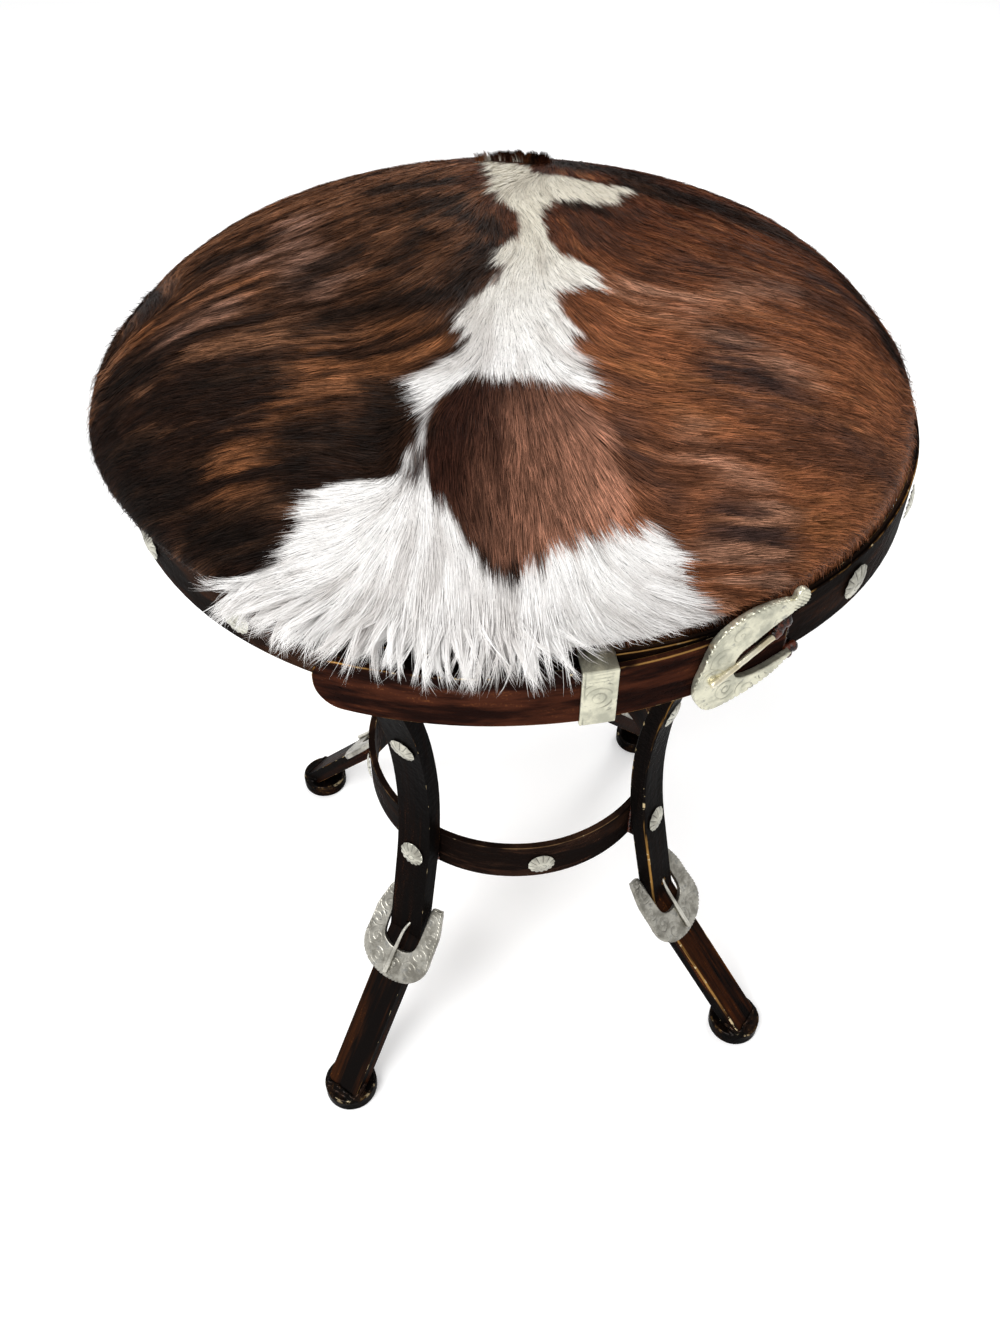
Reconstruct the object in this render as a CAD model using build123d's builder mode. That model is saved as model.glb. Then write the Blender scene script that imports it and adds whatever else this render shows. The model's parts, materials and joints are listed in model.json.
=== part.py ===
from build123d import *
import os
from math import acos, atan2, cos, degrees, radians, sin, sqrt, tan

# Round counter-height footstool: flat-bar iron legs and hoops made like buckled belts, hide cushion.
# Millimetres, +Z up, the floor at Z = 0, the stool's axis on Z, the buckled side towards -Y.

os.makedirs("parts", exist_ok=True)

# Fits and cuts
soft_clearance = 0.3        # air left round padding, so that it touches nothing
seat_gap = 0.1              # air left between curved faces laid on each other
cut_overrun = 2.0           # how far a cutting shape runs past what it cuts
weld_gap = 0.5              # gap that a weld bridges where the ring's top edge meets a leg
half_share = 0.5
parallel_share = 0.99       # how nearly an edge must run along a direction to be picked by it
quarter_turn = 90.0

# Apron: the band is a closed hoop, the strap is laid over its front like a belt's tongue
band_outer_radius = 232.0
band_thickness = 4.0
band_height = 32.0
band_bottom_height = 505.0
strap_thickness = 4.0
strap_straight_length = 16.0    # straight run where the strap leaves the band, so its tip stands proud
strap_weld_angle = 293.0        # welded end, seen from above
strap_leave_angle = 288.0
strap_tip_angle = 239.3         # free tip, about the strap's own centre
strap_tip_radius = 14.5
keeper_angle = 268.4
keeper_width = 17.5
keeper_height = 35.0
keeper_thickness = 1.8

# Apron buckle and its prong, laid out in shares of its half length and half height
apron_buckle_angle = 287.0
apron_buckle_half_length = 31.0
apron_buckle_half_height = 30.0
buckle_thickness = 4.0
apron_prong_radius = 1.5
apron_prong_bend_radius = 8.0

# Legs: one flat bar each, arc above, straight below the waist, a bend and a splayed end
leg_angles = {"front_left": 225.0, "front_right": 315.0, "back_right": 45.0, "back_left": 135.0}
leg_width = 28.5
leg_thickness = 12.5
leg_waist_radius = 124.5
leg_waist_height = 269.5
leg_top_rise = 2.8              # where the outer face meets the band, above the band's underside
leg_bend_height = 125.5
leg_bend_radius = 10.0
leg_upper_lean_angle = 11.5
leg_lower_lean_angle = 39.9
leg_trim_angle = 3.0            # arc carried past the band before its end is trimmed

# Feet
foot_radius = 20.5
foot_thickness = 14.0
foot_inset = 12.0               # foot centre behind the leg's outer face
foot_edge_radius = 1.5

# Foot ring, inside the waist of the legs
ring_drop = 42.5                # top edge below the waist of the legs
ring_height = 35.0
ring_thickness = 5.0
ring_pad_width = 20.0

# Leg buckles and prongs
leg_buckle_half_width = 30.5
leg_buckle_drop = 39.0          # closed end below the bend, along the lower leg
leg_buckle_rise = 32.0          # tips above the bend
leg_prong_radius = 1.6
leg_prong_drop = 35.0
leg_prong_skew = 2.5            # sideways offset of each end, so the prong lies a little askew
prong_hole_radius = 2.25
prong_hole_depth = 4.0
prong_hole_rise = 12.5          # hole above the bend, along the upper leg

# Conchos
concho_radius = 10.0
concho_rim_height = 1.0
concho_dome_height = 3.0
band_concho_first_angle = 307.0
band_concho_step_angle = 19.7
band_concho_count = 15
leg_concho_spread = 58.5        # above and below the waist
ring_concho_rise = 15.0         # above the ring's underside

# Seat: cross bars, board, foam and cover
cross_angle = 22.5              # arms clear of the legs' tops and of the keeper
cross_width = 25.0
cross_thickness = 5.0
cross_rise = 15.0               # underside above the band's underside
board_thickness = 12.0
board_edge_radius = 2.5
cover_thickness = 3.0
cover_corner_radius = 5.0
cover_hem_width = 44.0          # folded in under the board
cover_gap = 5.7                 # air between the band and the cover round the board
cushion_bulge = 5.7             # widest part, out over the cover's side
cushion_widest_rise = 12.4      # widest part, above the board
cushion_crown_rise = 72.0       # top, above the widest part
crown_power_shares = (2.7, 1.62)    # outward and upward powers of the crown's curve: a flat middle
crown_radius_shares = (0.0, 0.25, 0.5, 0.7, 0.85, 0.94, 0.985, 1.0)

# Values that follow from the ones above
band_inner_radius = band_outer_radius - band_thickness
band_top_height = band_bottom_height + band_height
band_middle_height = band_bottom_height + band_height * half_share
ring_top_height = leg_waist_height - ring_drop
ring_bottom_height = ring_top_height - ring_height
ring_concho_height = ring_bottom_height + ring_concho_rise
leg_reach = band_inner_radius - leg_waist_radius
leg_rise = band_bottom_height + leg_top_rise - leg_waist_height
leg_arc_radius = (leg_rise**2 + leg_reach**2) / (2 * leg_reach)
leg_centre_radius = leg_waist_radius + leg_arc_radius
leg_inner_arc_radius = leg_arc_radius + leg_thickness
leg_arc_end_radius = leg_centre_radius - leg_arc_radius * cos(radians(leg_upper_lean_angle))
leg_arc_end_height = leg_waist_height - leg_arc_radius * sin(radians(leg_upper_lean_angle))
leg_bend_offset = leg_arc_end_radius + (leg_arc_end_height - leg_bend_height) * tan(radians(leg_upper_lean_angle))
leg_end_offset = leg_bend_offset + (leg_bend_height - foot_thickness) * tan(radians(leg_lower_lean_angle))
leg_end_depth = leg_thickness / cos(radians(leg_lower_lean_angle))
foot_offset = leg_end_offset - foot_inset
cross_bottom_height = band_bottom_height + cross_rise
cover_bottom_height = cross_bottom_height + cross_thickness + soft_clearance
board_bottom_height = cover_bottom_height + cover_thickness + soft_clearance
board_top_height = board_bottom_height + board_thickness
cover_side_radius = band_inner_radius - cover_gap
cover_hem_radius = cover_side_radius - cover_hem_width
board_radius = cover_side_radius - cover_thickness - soft_clearance
cushion_radius = cover_side_radius + cushion_bulge
cushion_widest_height = board_top_height + cushion_widest_rise
cushion_top_height = cushion_widest_height + cushion_crown_rise


def leg_inner_radius(height):
    """Distance from the stool's axis to a leg's inner face on the arc."""
    return leg_centre_radius - sqrt(leg_inner_arc_radius**2 - (height - leg_waist_height) ** 2)


ring_outer_radius = leg_inner_radius(ring_top_height) - weld_gap
ring_inner_radius = ring_outer_radius - ring_thickness


def polar(radius, angle, height=0):
    """Point at a distance and direction from the axis."""
    return Vector(radius * cos(radians(angle)), radius * sin(radians(angle)), height)


def wall_plane(radius, angle, height):
    """Plane on an upright hoop: X along it to the right, Y up, Z outward."""
    along = polar(1, angle + quarter_turn)
    return Plane(origin=polar(radius, angle, height), x_dir=along, z_dir=polar(1, angle))


def leg_plane(angle, radius, height, lean):
    """Plane on a leg's outer face: X across it, Y up along it, Z outward."""
    outward = polar(cos(radians(lean)), angle, sin(radians(lean)))
    across = polar(1, angle + quarter_turn)
    return Plane(origin=polar(radius, angle, height), x_dir=across, z_dir=outward)


def arc_about(centre, radius, start_angle, end_angle):
    """Flat arc about a centre, in plan."""
    middle_angle = (start_angle + end_angle) * half_share
    return ThreePointArc(
        centre + polar(radius, start_angle),
        centre + polar(radius, middle_angle),
        centre + polar(radius, end_angle),
    )


strap_centre = polar(strap_straight_length, strap_leave_angle - quarter_turn)


def strap_layer(inner_radius, outer_radius, start_angle, end_angle):
    """Plan of a layer that follows the strap: hoop, straight run, hoop about the strap's own centre."""
    axis = polar(0, 0)
    with BuildLine(Plane.XY) as plan:
        arc_about(axis, outer_radius, start_angle, strap_leave_angle)
        Line(polar(outer_radius, strap_leave_angle), strap_centre + polar(outer_radius, strap_leave_angle))
        arc_about(strap_centre, outer_radius, strap_leave_angle, end_angle)
        Line(strap_centre + polar(outer_radius, end_angle), strap_centre + polar(inner_radius, end_angle))
        arc_about(strap_centre, inner_radius, end_angle, strap_leave_angle)
        Line(strap_centre + polar(inner_radius, strap_leave_angle), polar(inner_radius, strap_leave_angle))
        arc_about(axis, inner_radius, strap_leave_angle, start_angle)
        Line(polar(inner_radius, start_angle), polar(outer_radius, start_angle))
    make_face(plan.edges())


def save(solid, name):
    """Label a finished piece and write it out."""
    solid.label = name
    export_step(solid, f"parts/{name}.step")


# Apron band: the closed hoop that holds the legs' tops and the seat
with BuildPart() as apron_band:
    with BuildSketch(Plane.XY.offset(band_bottom_height)):
        Circle(band_outer_radius)
        Circle(band_inner_radius, mode=Mode.SUBTRACT)
    extrude(amount=band_height)
save(apron_band.part, "apron_band")

# Apron strap: outer layer with a rounded free tip
strap_inner_radius = band_outer_radius + seat_gap
strap_outer_radius = strap_inner_radius + strap_thickness
with BuildPart() as apron_strap:
    with BuildSketch(Plane.XY.offset(band_bottom_height)):
        strap_layer(strap_inner_radius, strap_outer_radius, strap_weld_angle, strap_tip_angle)
    extrude(amount=band_height)
    tip_point = strap_centre + polar(strap_outer_radius, strap_tip_angle, band_middle_height)
    across = polar(1, strap_tip_angle)
    tip_edges = [
        edge
        for edge in apron_strap.edges().sort_by_distance(tip_point)
        if edge.geom_type == GeomType.LINE and abs(edge.tangent_at(0).dot(across)) > parallel_share
    ]
    fillet(tip_edges[:2], radius=strap_tip_radius)
save(apron_strap.part, "apron_strap")

# Keeper: flat loop closed round band and strap together
with BuildPart() as apron_keeper:
    keeper_outer_radius = strap_outer_radius + seat_gap + keeper_thickness
    keeper_inner_radius = band_inner_radius - seat_gap - keeper_thickness
    with BuildSketch(Plane.XY.offset(band_middle_height - keeper_height * half_share)):
        with Locations(strap_centre):
            Circle(keeper_outer_radius)
        Circle(keeper_inner_radius, mode=Mode.SUBTRACT)
        with Locations(Location(polar(0, 0), (0, 0, keeper_angle))):
            Rectangle(
                keeper_outer_radius * 2,
                keeper_width,
                align=(Align.MIN, Align.CENTER),
                mode=Mode.INTERSECT,
            )
    extrude(amount=keeper_height)
    with BuildSketch(Plane.XY.offset(band_bottom_height - seat_gap)):
        with Locations(strap_centre):
            Circle(strap_outer_radius + seat_gap)
        Circle(band_inner_radius - seat_gap, mode=Mode.SUBTRACT)
    extrude(amount=band_height + seat_gap * 2, mode=Mode.SUBTRACT)
save(apron_keeper.part, "apron_keeper")

# Apron buckle: horseshoe plate curved to the strap, closed to the left, a knob on its upper arm
apron_outer_shares = [
    (0.87, -0.31),
    (0.62, -0.53),
    (0.14, -0.75),
    (-0.46, -0.88),
    (-0.72, -0.85),
    (-0.89, -0.66),
    (-0.98, -0.30),
    (-0.87, 0.21),
    (-0.72, 0.66),
    (-0.34, 0.94),
    (0.07, 1.02),
    (0.66, 0.93),
]
apron_knob_shares = [(0.66, 0.93), (0.76, 1.08), (0.96, 1.02), (1.03, 0.80), (0.86, 0.68)]
apron_window_shares = [
    (0.86, 0.68),
    (0.56, 0.62),
    (0.22, 0.47),
    (-0.01, 0.33),
    (-0.25, 0.17),
    (-0.31, -0.05),
    (-0.23, -0.32),
    (0.08, -0.41),
    (0.40, -0.38),
    (0.87, -0.31),
]
buckle_inner_radius = strap_outer_radius + seat_gap
buckle_outer_radius = buckle_inner_radius + buckle_thickness


def apron_point(shares):
    """Point of the apron buckle's outline on its own plane."""
    return (shares[0] * apron_buckle_half_length, shares[1] * apron_buckle_half_height)


with BuildPart() as apron_buckle:
    reach = apron_buckle_half_length + apron_buckle_half_height
    reach_angle = degrees(reach / strap_outer_radius)
    with BuildSketch(Plane.XY.offset(band_middle_height - reach)):
        strap_layer(
            buckle_inner_radius,
            buckle_outer_radius,
            apron_buckle_angle + reach_angle,
            apron_buckle_angle - reach_angle,
        )
    extrude(amount=reach * 2)
    with BuildSketch(wall_plane(band_inner_radius, apron_buckle_angle, band_middle_height)):
        with BuildLine():
            Spline([apron_point(shares) for shares in apron_outer_shares])
            Spline([apron_point(shares) for shares in apron_knob_shares])
            Spline([apron_point(shares) for shares in apron_window_shares])
        make_face()
    extrude(amount=band_outer_radius, mode=Mode.INTERSECT)
save(apron_buckle.part, "apron_buckle")

# Apron buckle prong: lies on the buckle's closed end, crosses the window and is welded to the strap
prong_start_shares = (-0.73, -0.23)
prong_bend_shares = (-0.20, -0.03)
prong_end_shares = (0.44, 0.22)


def strap_face_radius(angle):
    """Distance from the stool's axis to the strap's outer face, seen from above."""
    turn = radians(max(0, strap_leave_angle - angle))
    if turn <= atan2(strap_straight_length, strap_outer_radius):
        return strap_outer_radius / cos(turn)
    beside = strap_straight_length * cos(turn)
    return strap_straight_length * sin(turn) + sqrt(strap_outer_radius**2 - beside**2)


def prong_point(shares, lift):
    """Point over the strap's face near the apron buckle."""
    angle = apron_buckle_angle + degrees(shares[0] * apron_buckle_half_length / strap_outer_radius)
    height = band_middle_height + shares[1] * apron_buckle_half_height
    return polar(strap_face_radius(angle) + lift, angle, height)


with BuildPart() as apron_buckle_prong:
    on_plate = buckle_thickness + seat_gap * 2 + apron_prong_radius
    start = prong_point(prong_start_shares, on_plate)
    bend = prong_point(prong_bend_shares, on_plate)
    end = prong_point(prong_end_shares, seat_gap + apron_prong_radius)
    with BuildLine() as prong_path:
        FilletPolyline(start, bend, end, radius=apron_prong_bend_radius)
    with BuildSketch(Plane(origin=start, z_dir=(bend - start).normalized())):
        Circle(apron_prong_radius)
    sweep(path=prong_path.line)
    add(apron_buckle.part, mode=Mode.SUBTRACT)
    add(apron_strap.part, mode=Mode.SUBTRACT)
save(apron_buckle_prong.part, "apron_buckle_prong")


def make_leg(angle):
    """One leg: flat bar bent on the flat, its top trimmed to the band and its end to the foot."""
    centre = Vector(leg_centre_radius, leg_waist_height)

    def on_arc(radius, lean):
        return centre - Vector(cos(radians(lean)), sin(radians(lean))) * radius

    trim_reach_share = (leg_centre_radius - band_inner_radius) / leg_inner_arc_radius
    top_lean = -leg_trim_angle - degrees(acos(trim_reach_share))
    middle_lean = (top_lean + leg_upper_lean_angle) * half_share
    upper_normal = Vector(cos(radians(leg_upper_lean_angle)), sin(radians(leg_upper_lean_angle)))
    lower_normal = Vector(cos(radians(leg_lower_lean_angle)), sin(radians(leg_lower_lean_angle)))
    bend_outer = Vector(leg_bend_offset, leg_bend_height)
    bend_inner = bend_outer - (upper_normal + lower_normal) * (
        leg_thickness / (1 + upper_normal.dot(lower_normal))
    )
    end_outer = Vector(leg_end_offset, foot_thickness)
    end_inner = Vector(leg_end_offset - leg_end_depth, foot_thickness)
    profile_plane = Plane(origin=polar(0, 0), x_dir=polar(1, angle), z_dir=polar(1, angle - quarter_turn))
    with BuildPart() as leg:
        with BuildSketch(profile_plane):
            with BuildLine():
                ThreePointArc(
                    on_arc(leg_arc_radius, top_lean),
                    on_arc(leg_arc_radius, middle_lean),
                    on_arc(leg_arc_radius, leg_upper_lean_angle),
                )
                FilletPolyline(
                    on_arc(leg_arc_radius, leg_upper_lean_angle), bend_outer, end_outer, radius=leg_bend_radius
                )
                Line(end_outer, end_inner)
                FilletPolyline(
                    end_inner,
                    bend_inner,
                    on_arc(leg_inner_arc_radius, leg_upper_lean_angle),
                    radius=leg_bend_radius + leg_thickness,
                )
                ThreePointArc(
                    on_arc(leg_inner_arc_radius, leg_upper_lean_angle),
                    on_arc(leg_inner_arc_radius, middle_lean),
                    on_arc(leg_inner_arc_radius, top_lean),
                )
                Line(on_arc(leg_inner_arc_radius, top_lean), on_arc(leg_arc_radius, top_lean))
            make_face()
        extrude(amount=leg_width * half_share, both=True)
        with BuildSketch(Plane.XY.offset(leg_waist_height)):
            Circle(leg_centre_radius)
            Circle(band_inner_radius, mode=Mode.SUBTRACT)
        extrude(amount=band_top_height, mode=Mode.SUBTRACT)
        with BuildSketch(leg_plane(angle, leg_bend_offset, leg_bend_height, leg_upper_lean_angle)):
            with Locations((leg_prong_skew, prong_hole_rise)):
                Circle(prong_hole_radius)
        extrude(amount=-prong_hole_depth, mode=Mode.SUBTRACT)
    return leg.part


legs = {}
for place, angle in leg_angles.items():
    legs[place] = make_leg(angle)
    save(legs[place], f"leg_{place}")


def make_foot(angle):
    """Thick round pad under a leg."""
    with BuildPart() as foot:
        with BuildSketch():
            with Locations(polar(foot_offset, angle)):
                Circle(foot_radius)
        extrude(amount=foot_thickness)
        fillet(foot.edges().filter_by(GeomType.CIRCLE), radius=foot_edge_radius)
    return foot.part


for place, angle in leg_angles.items():
    save(make_foot(angle), f"foot_{place}")

# Foot ring: hoop of flat bar with a weld pad against the back of every leg
with BuildPart() as foot_ring:
    with BuildSketch(Plane.XY.offset(ring_bottom_height)):
        Circle(ring_outer_radius)
        for angle in leg_angles.values():
            with Locations(Location(polar(0, 0), (0, 0, angle))):
                Rectangle(
                    ring_outer_radius + leg_thickness,
                    ring_pad_width,
                    align=(Align.MIN, Align.CENTER),
                )
        Circle(ring_inner_radius, mode=Mode.SUBTRACT)
    extrude(amount=ring_height)
    for leg in legs.values():
        add(leg, mode=Mode.SUBTRACT)
save(foot_ring.part, "foot_ring")

# Leg buckles: horseshoe plate on each lower leg, open upward, the leg rising through its window
leg_outer_shares = [
    (0.00, -1.00),
    (0.38, -0.96),
    (0.70, -0.84),
    (0.92, -0.64),
    (1.00, -0.38),
    (0.96, -0.12),
    (0.86, 0.14),
    (0.84, 0.48),
    (0.85, 0.78),
    (0.78, 1.00),
]
leg_window_shares = [
    (0.52, 0.96),
    (0.51, 0.50),
    (0.51, -0.02),
    (0.44, -0.22),
    (0.26, -0.32),
    (0.00, -0.34),
]


def leg_buckle_point(shares):
    """Point of a leg buckle's outline on the lower leg's face."""
    reach = leg_buckle_drop if shares[1] < 0 else leg_buckle_rise
    return (shares[0] * leg_buckle_half_width, shares[1] * reach)


def make_leg_buckle(angle):
    """Flat horseshoe plate."""
    with BuildPart() as plate:
        with BuildSketch(leg_plane(angle, leg_bend_offset, leg_bend_height, leg_lower_lean_angle)):
            with BuildLine():
                Spline([leg_buckle_point(shares) for shares in leg_outer_shares])
                Line(leg_buckle_point(leg_outer_shares[-1]), leg_buckle_point(leg_window_shares[0]))
                Spline([leg_buckle_point(shares) for shares in leg_window_shares])
                mirror(about=Plane.YZ)
            make_face()
        extrude(amount=buckle_thickness)
    return plate.part


def make_leg_prong(angle, leg):
    """Round rod that lies on the plate and ends in the leg's hole."""
    face = leg_plane(angle, leg_bend_offset, leg_bend_height, leg_lower_lean_angle)
    lift = buckle_thickness + leg_prong_radius
    start = face.from_local_coords(Vector(-leg_prong_skew, -leg_prong_drop, lift))
    end = face.from_local_coords(Vector(leg_prong_skew, prong_hole_rise, lift))
    with BuildPart() as prong:
        with BuildSketch(Plane(origin=start, z_dir=(end - start).normalized())):
            Circle(leg_prong_radius)
        extrude(amount=(end - start).length)
        add(leg, mode=Mode.SUBTRACT)
    return prong.part


for place, angle in leg_angles.items():
    save(make_leg_buckle(angle), f"leg_buckle_{place}")
    save(make_leg_prong(angle, legs[place]), f"leg_prong_{place}")


def make_concho(plane, backing):
    """Low round dome on a rim, its back shaped to the piece that it sits on."""
    rim_top = plane.offset(concho_rim_height)
    dome_radius = (concho_radius**2 + concho_dome_height**2) / (2 * concho_dome_height)
    with BuildPart() as concho:
        with BuildSketch(plane.offset(-concho_rim_height)):
            Circle(concho_radius)
        extrude(amount=concho_rim_height * 2 + concho_dome_height)
        with Locations(Location(rim_top.offset(concho_dome_height - dome_radius))):
            Sphere(dome_radius, mode=Mode.INTERSECT)
        add(backing, mode=Mode.SUBTRACT)
    return concho.part.translate(plane.z_dir * seat_gap)


for number in range(band_concho_count):
    angle = band_concho_first_angle + band_concho_step_angle * number
    seat_plane = wall_plane(band_outer_radius, angle, band_middle_height)
    save(make_concho(seat_plane, apron_band.part), f"band_concho_{number + 1:02d}")

for place, angle in leg_angles.items():
    ring_angle = angle + quarter_turn * half_share
    seat_plane = wall_plane(ring_outer_radius, ring_angle, ring_concho_height)
    save(make_concho(seat_plane, foot_ring.part), f"ring_concho_{place}")


def leg_concho_plane(angle, height):
    """Plane on the outer face of a leg's arc at a height."""
    rise = leg_waist_height - height
    radius = leg_centre_radius - sqrt(leg_arc_radius**2 - rise**2)
    lean = degrees(acos((leg_centre_radius - radius) / leg_arc_radius))
    return leg_plane(angle, radius, height, lean if rise > 0 else -lean)


for place, angle in leg_angles.items():
    for level, spread in (("upper", leg_concho_spread), ("lower", -leg_concho_spread)):
        seat_plane = leg_concho_plane(angle, leg_waist_height + spread)
        save(make_concho(seat_plane, legs[place]), f"leg_concho_{place}_{level}")

# Seat cross: two flat bars that span the band under the board
with BuildPart() as seat_cross:
    with BuildSketch(Plane.XY.offset(cross_bottom_height)):
        for angle in (cross_angle, cross_angle + quarter_turn):
            with Locations(Location(polar(0, 0), (0, 0, angle))):
                Rectangle(band_outer_radius * 2, cross_width)
        Circle(band_inner_radius, mode=Mode.INTERSECT)
    extrude(amount=cross_thickness)
save(seat_cross.part, "seat_cross")

# Seat board
with BuildPart() as seat_board:
    with BuildSketch(Plane.XY.offset(board_bottom_height)):
        Circle(board_radius)
    extrude(amount=board_thickness)
    fillet(seat_board.edges().filter_by(GeomType.CIRCLE), radius=board_edge_radius)
save(seat_board.part, "seat_board")


def cushion_profile(depth):
    """Half section of the padded seat, drawn in at the board, taken a depth inside its surface."""
    outward_power, upward_power = crown_power_shares
    crown_points = []
    for share in crown_radius_shares:
        height_share = (1 - share**outward_power) ** (1 / upward_power)
        height = cushion_widest_height + (cushion_crown_rise - depth) * height_share
        crown_points.append((share * (cushion_radius - depth), height))
    tuck = cushion_radius - cover_side_radius
    side_drop = cushion_widest_height - board_top_height
    side_radius = (side_drop**2 + tuck**2) / (2 * tuck)
    side_centre = Vector(cushion_radius - side_radius, cushion_widest_height)
    side_start = Vector(cushion_radius - depth, cushion_widest_height)
    side_length = side_radius - depth
    foot_x = cover_side_radius - depth
    side_foot = Vector(foot_x, side_centre.Y - sqrt(side_length**2 - (foot_x - side_centre.X) ** 2))
    side_middle = ((side_foot - side_centre).normalized() + Vector(1, 0)).normalized()
    corner = cover_corner_radius - min(depth, cover_thickness)
    bottom = cover_bottom_height + depth
    corner_centre = Vector(foot_x - corner, bottom + corner)
    corner_turn = radians(quarter_turn * half_share)
    corner_middle = Vector(cos(corner_turn), -sin(corner_turn))
    with BuildLine(Plane.XY) as section:
        Spline(crown_points, tangents=[(1, 0), (0, -1)])
        ThreePointArc(side_start, side_centre + side_middle * side_length, side_foot)
        Line(side_foot, (foot_x, bottom + corner))
        ThreePointArc(
            (foot_x, bottom + corner), corner_centre + corner_middle * corner, (foot_x - corner, bottom)
        )
        Polyline((foot_x - corner, bottom), (0, bottom), (0, cushion_top_height - depth))
    make_face(section.edges())


# Seat cover: hide drawn over the cushion and folded in under the board
with BuildPart() as seat_cover:
    with BuildSketch(Plane.XZ):
        cushion_profile(0)
    revolve(axis=Axis.Z)
    with BuildSketch(Plane.XZ):
        cushion_profile(cover_thickness)
    revolve(axis=Axis.Z, mode=Mode.SUBTRACT)
    with BuildSketch(Plane.XY.offset(cover_bottom_height - cut_overrun)):
        Circle(cover_hem_radius)
    extrude(amount=cover_thickness + cut_overrun * 2, mode=Mode.SUBTRACT)
save(seat_cover.part, "seat_cover")

# Seat foam: fills the cover above the board
with BuildPart() as seat_foam:
    with BuildSketch(Plane.XZ):
        cushion_profile(cover_thickness + soft_clearance)
    revolve(axis=Axis.Z)
    with BuildSketch(Plane.XY.offset(board_top_height + soft_clearance)):
        Circle(cushion_radius + cut_overrun)
    extrude(amount=-(board_thickness + cover_thickness * 2 + cut_overrun), mode=Mode.SUBTRACT)
save(seat_foam.part, "seat_foam")
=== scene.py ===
# %% [markdown]
# # A round iron stool with a cowhide seat
#
# The stool is flat bar iron made to look like buckled belts: an apron hoop with a buckled strap,
# four bent legs with a buckle at every ankle, a foot ring, and a thick cushion in hair-on hide.
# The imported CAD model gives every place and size. Each piece below starts from its CAD solid or
# from a few points, and gets the softness, wear, carving and hair that the solids leave out.

# %% The frame and the tools
import json
from math import atan2, cos, floor, hypot, pi, radians, sin

import bmesh
import bpy
import numpy as np
from mathutils import Matrix, Vector, kdtree, noise
from mathutils.bvhtree import BVHTree

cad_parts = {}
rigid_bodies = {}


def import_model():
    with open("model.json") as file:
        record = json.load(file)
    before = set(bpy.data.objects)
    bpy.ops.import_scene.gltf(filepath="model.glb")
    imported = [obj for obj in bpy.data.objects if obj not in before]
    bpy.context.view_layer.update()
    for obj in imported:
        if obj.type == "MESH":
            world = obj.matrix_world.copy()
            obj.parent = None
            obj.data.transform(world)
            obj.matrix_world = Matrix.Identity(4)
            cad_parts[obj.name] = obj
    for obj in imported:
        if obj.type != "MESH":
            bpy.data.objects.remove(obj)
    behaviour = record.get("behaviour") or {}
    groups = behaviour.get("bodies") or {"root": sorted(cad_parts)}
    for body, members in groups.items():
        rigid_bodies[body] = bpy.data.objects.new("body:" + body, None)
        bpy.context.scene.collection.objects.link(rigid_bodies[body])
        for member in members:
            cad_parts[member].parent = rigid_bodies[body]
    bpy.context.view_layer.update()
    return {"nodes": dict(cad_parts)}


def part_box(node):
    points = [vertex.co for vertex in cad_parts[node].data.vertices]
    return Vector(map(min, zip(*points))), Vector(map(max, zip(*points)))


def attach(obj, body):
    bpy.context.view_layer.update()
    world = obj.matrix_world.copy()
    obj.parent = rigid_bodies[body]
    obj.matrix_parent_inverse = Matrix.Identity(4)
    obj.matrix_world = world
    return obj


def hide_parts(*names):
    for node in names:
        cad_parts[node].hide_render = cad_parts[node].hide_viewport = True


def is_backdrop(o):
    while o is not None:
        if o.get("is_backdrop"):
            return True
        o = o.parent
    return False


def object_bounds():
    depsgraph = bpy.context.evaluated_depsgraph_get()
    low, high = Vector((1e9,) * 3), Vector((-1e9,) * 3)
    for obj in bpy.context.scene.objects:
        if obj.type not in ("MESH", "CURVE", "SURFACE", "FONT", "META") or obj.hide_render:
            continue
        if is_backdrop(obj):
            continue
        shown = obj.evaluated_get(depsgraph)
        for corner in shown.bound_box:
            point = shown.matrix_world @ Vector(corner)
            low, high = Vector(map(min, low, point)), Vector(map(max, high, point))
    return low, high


for left_over in list(bpy.data.objects):
    bpy.data.objects.remove(left_over)
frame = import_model()
scene = bpy.context.scene
mm = 0.001
noise.seed_set(1)  # without it, the vector noise would differ from run to run

# %% [markdown]
# A few small helpers serve the whole script. Places round the stool are given by their distance
# from its axis, an angle in degrees and a height. Shares of something run from 0 to 1.

# %% Places, shares and meshes
def clipped(value):
    """The value, held between 0 and 1."""
    return min(1.0, max(0.0, value))


def round_axis(radius, turn, height):
    """A point by its distance from the stool's axis, its angle in degrees and its height."""
    return Vector((radius * cos(radians(turn)), radius * sin(radians(turn)), height))


def level_ways(turn):
    """The level directions away from the axis and across, at an angle in degrees."""
    outward = round_axis(1, turn, 0)
    return outward, Vector((-outward.y, outward.x, 0))


def turn_from(start, point):
    """How far round the axis a point lies from a start angle, in radians."""
    return (atan2(point.y, point.x) - start + pi) % (2 * pi) - pi


def mesh_from(bm, name):
    """A bmesh written out as a mesh, and freed."""
    mesh = bpy.data.meshes.new(name)
    bm.to_mesh(mesh)
    bm.free()
    return mesh


def put(name, data):
    """An object in the scene, made of a mesh, a lamp or a lens."""
    thing = bpy.data.objects.new(name, data)
    scene.collection.objects.link(thing)
    return thing


def taken(thing):
    """The mesh of an object with its modifiers worked in."""
    bpy.context.view_layer.update()
    return bpy.data.meshes.new_from_object(thing.evaluated_get(bpy.context.evaluated_depsgraph_get()))


def even_faces(name, bm, size):
    """An object of the same shape, remade in even faces of a size."""
    thing = put(name, mesh_from(bm, name))
    remesh = thing.modifiers.new("even faces", "REMESH")
    remesh.mode, remesh.voxel_size = "VOXEL", size
    thing.data = taken(thing)
    thing.modifiers.clear()
    return thing


def smoothed(bm, factor):
    bmesh.ops.smooth_vert(bm, verts=bm.verts, factor=factor, use_axis_x=True, use_axis_y=True, use_axis_z=True)


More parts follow.
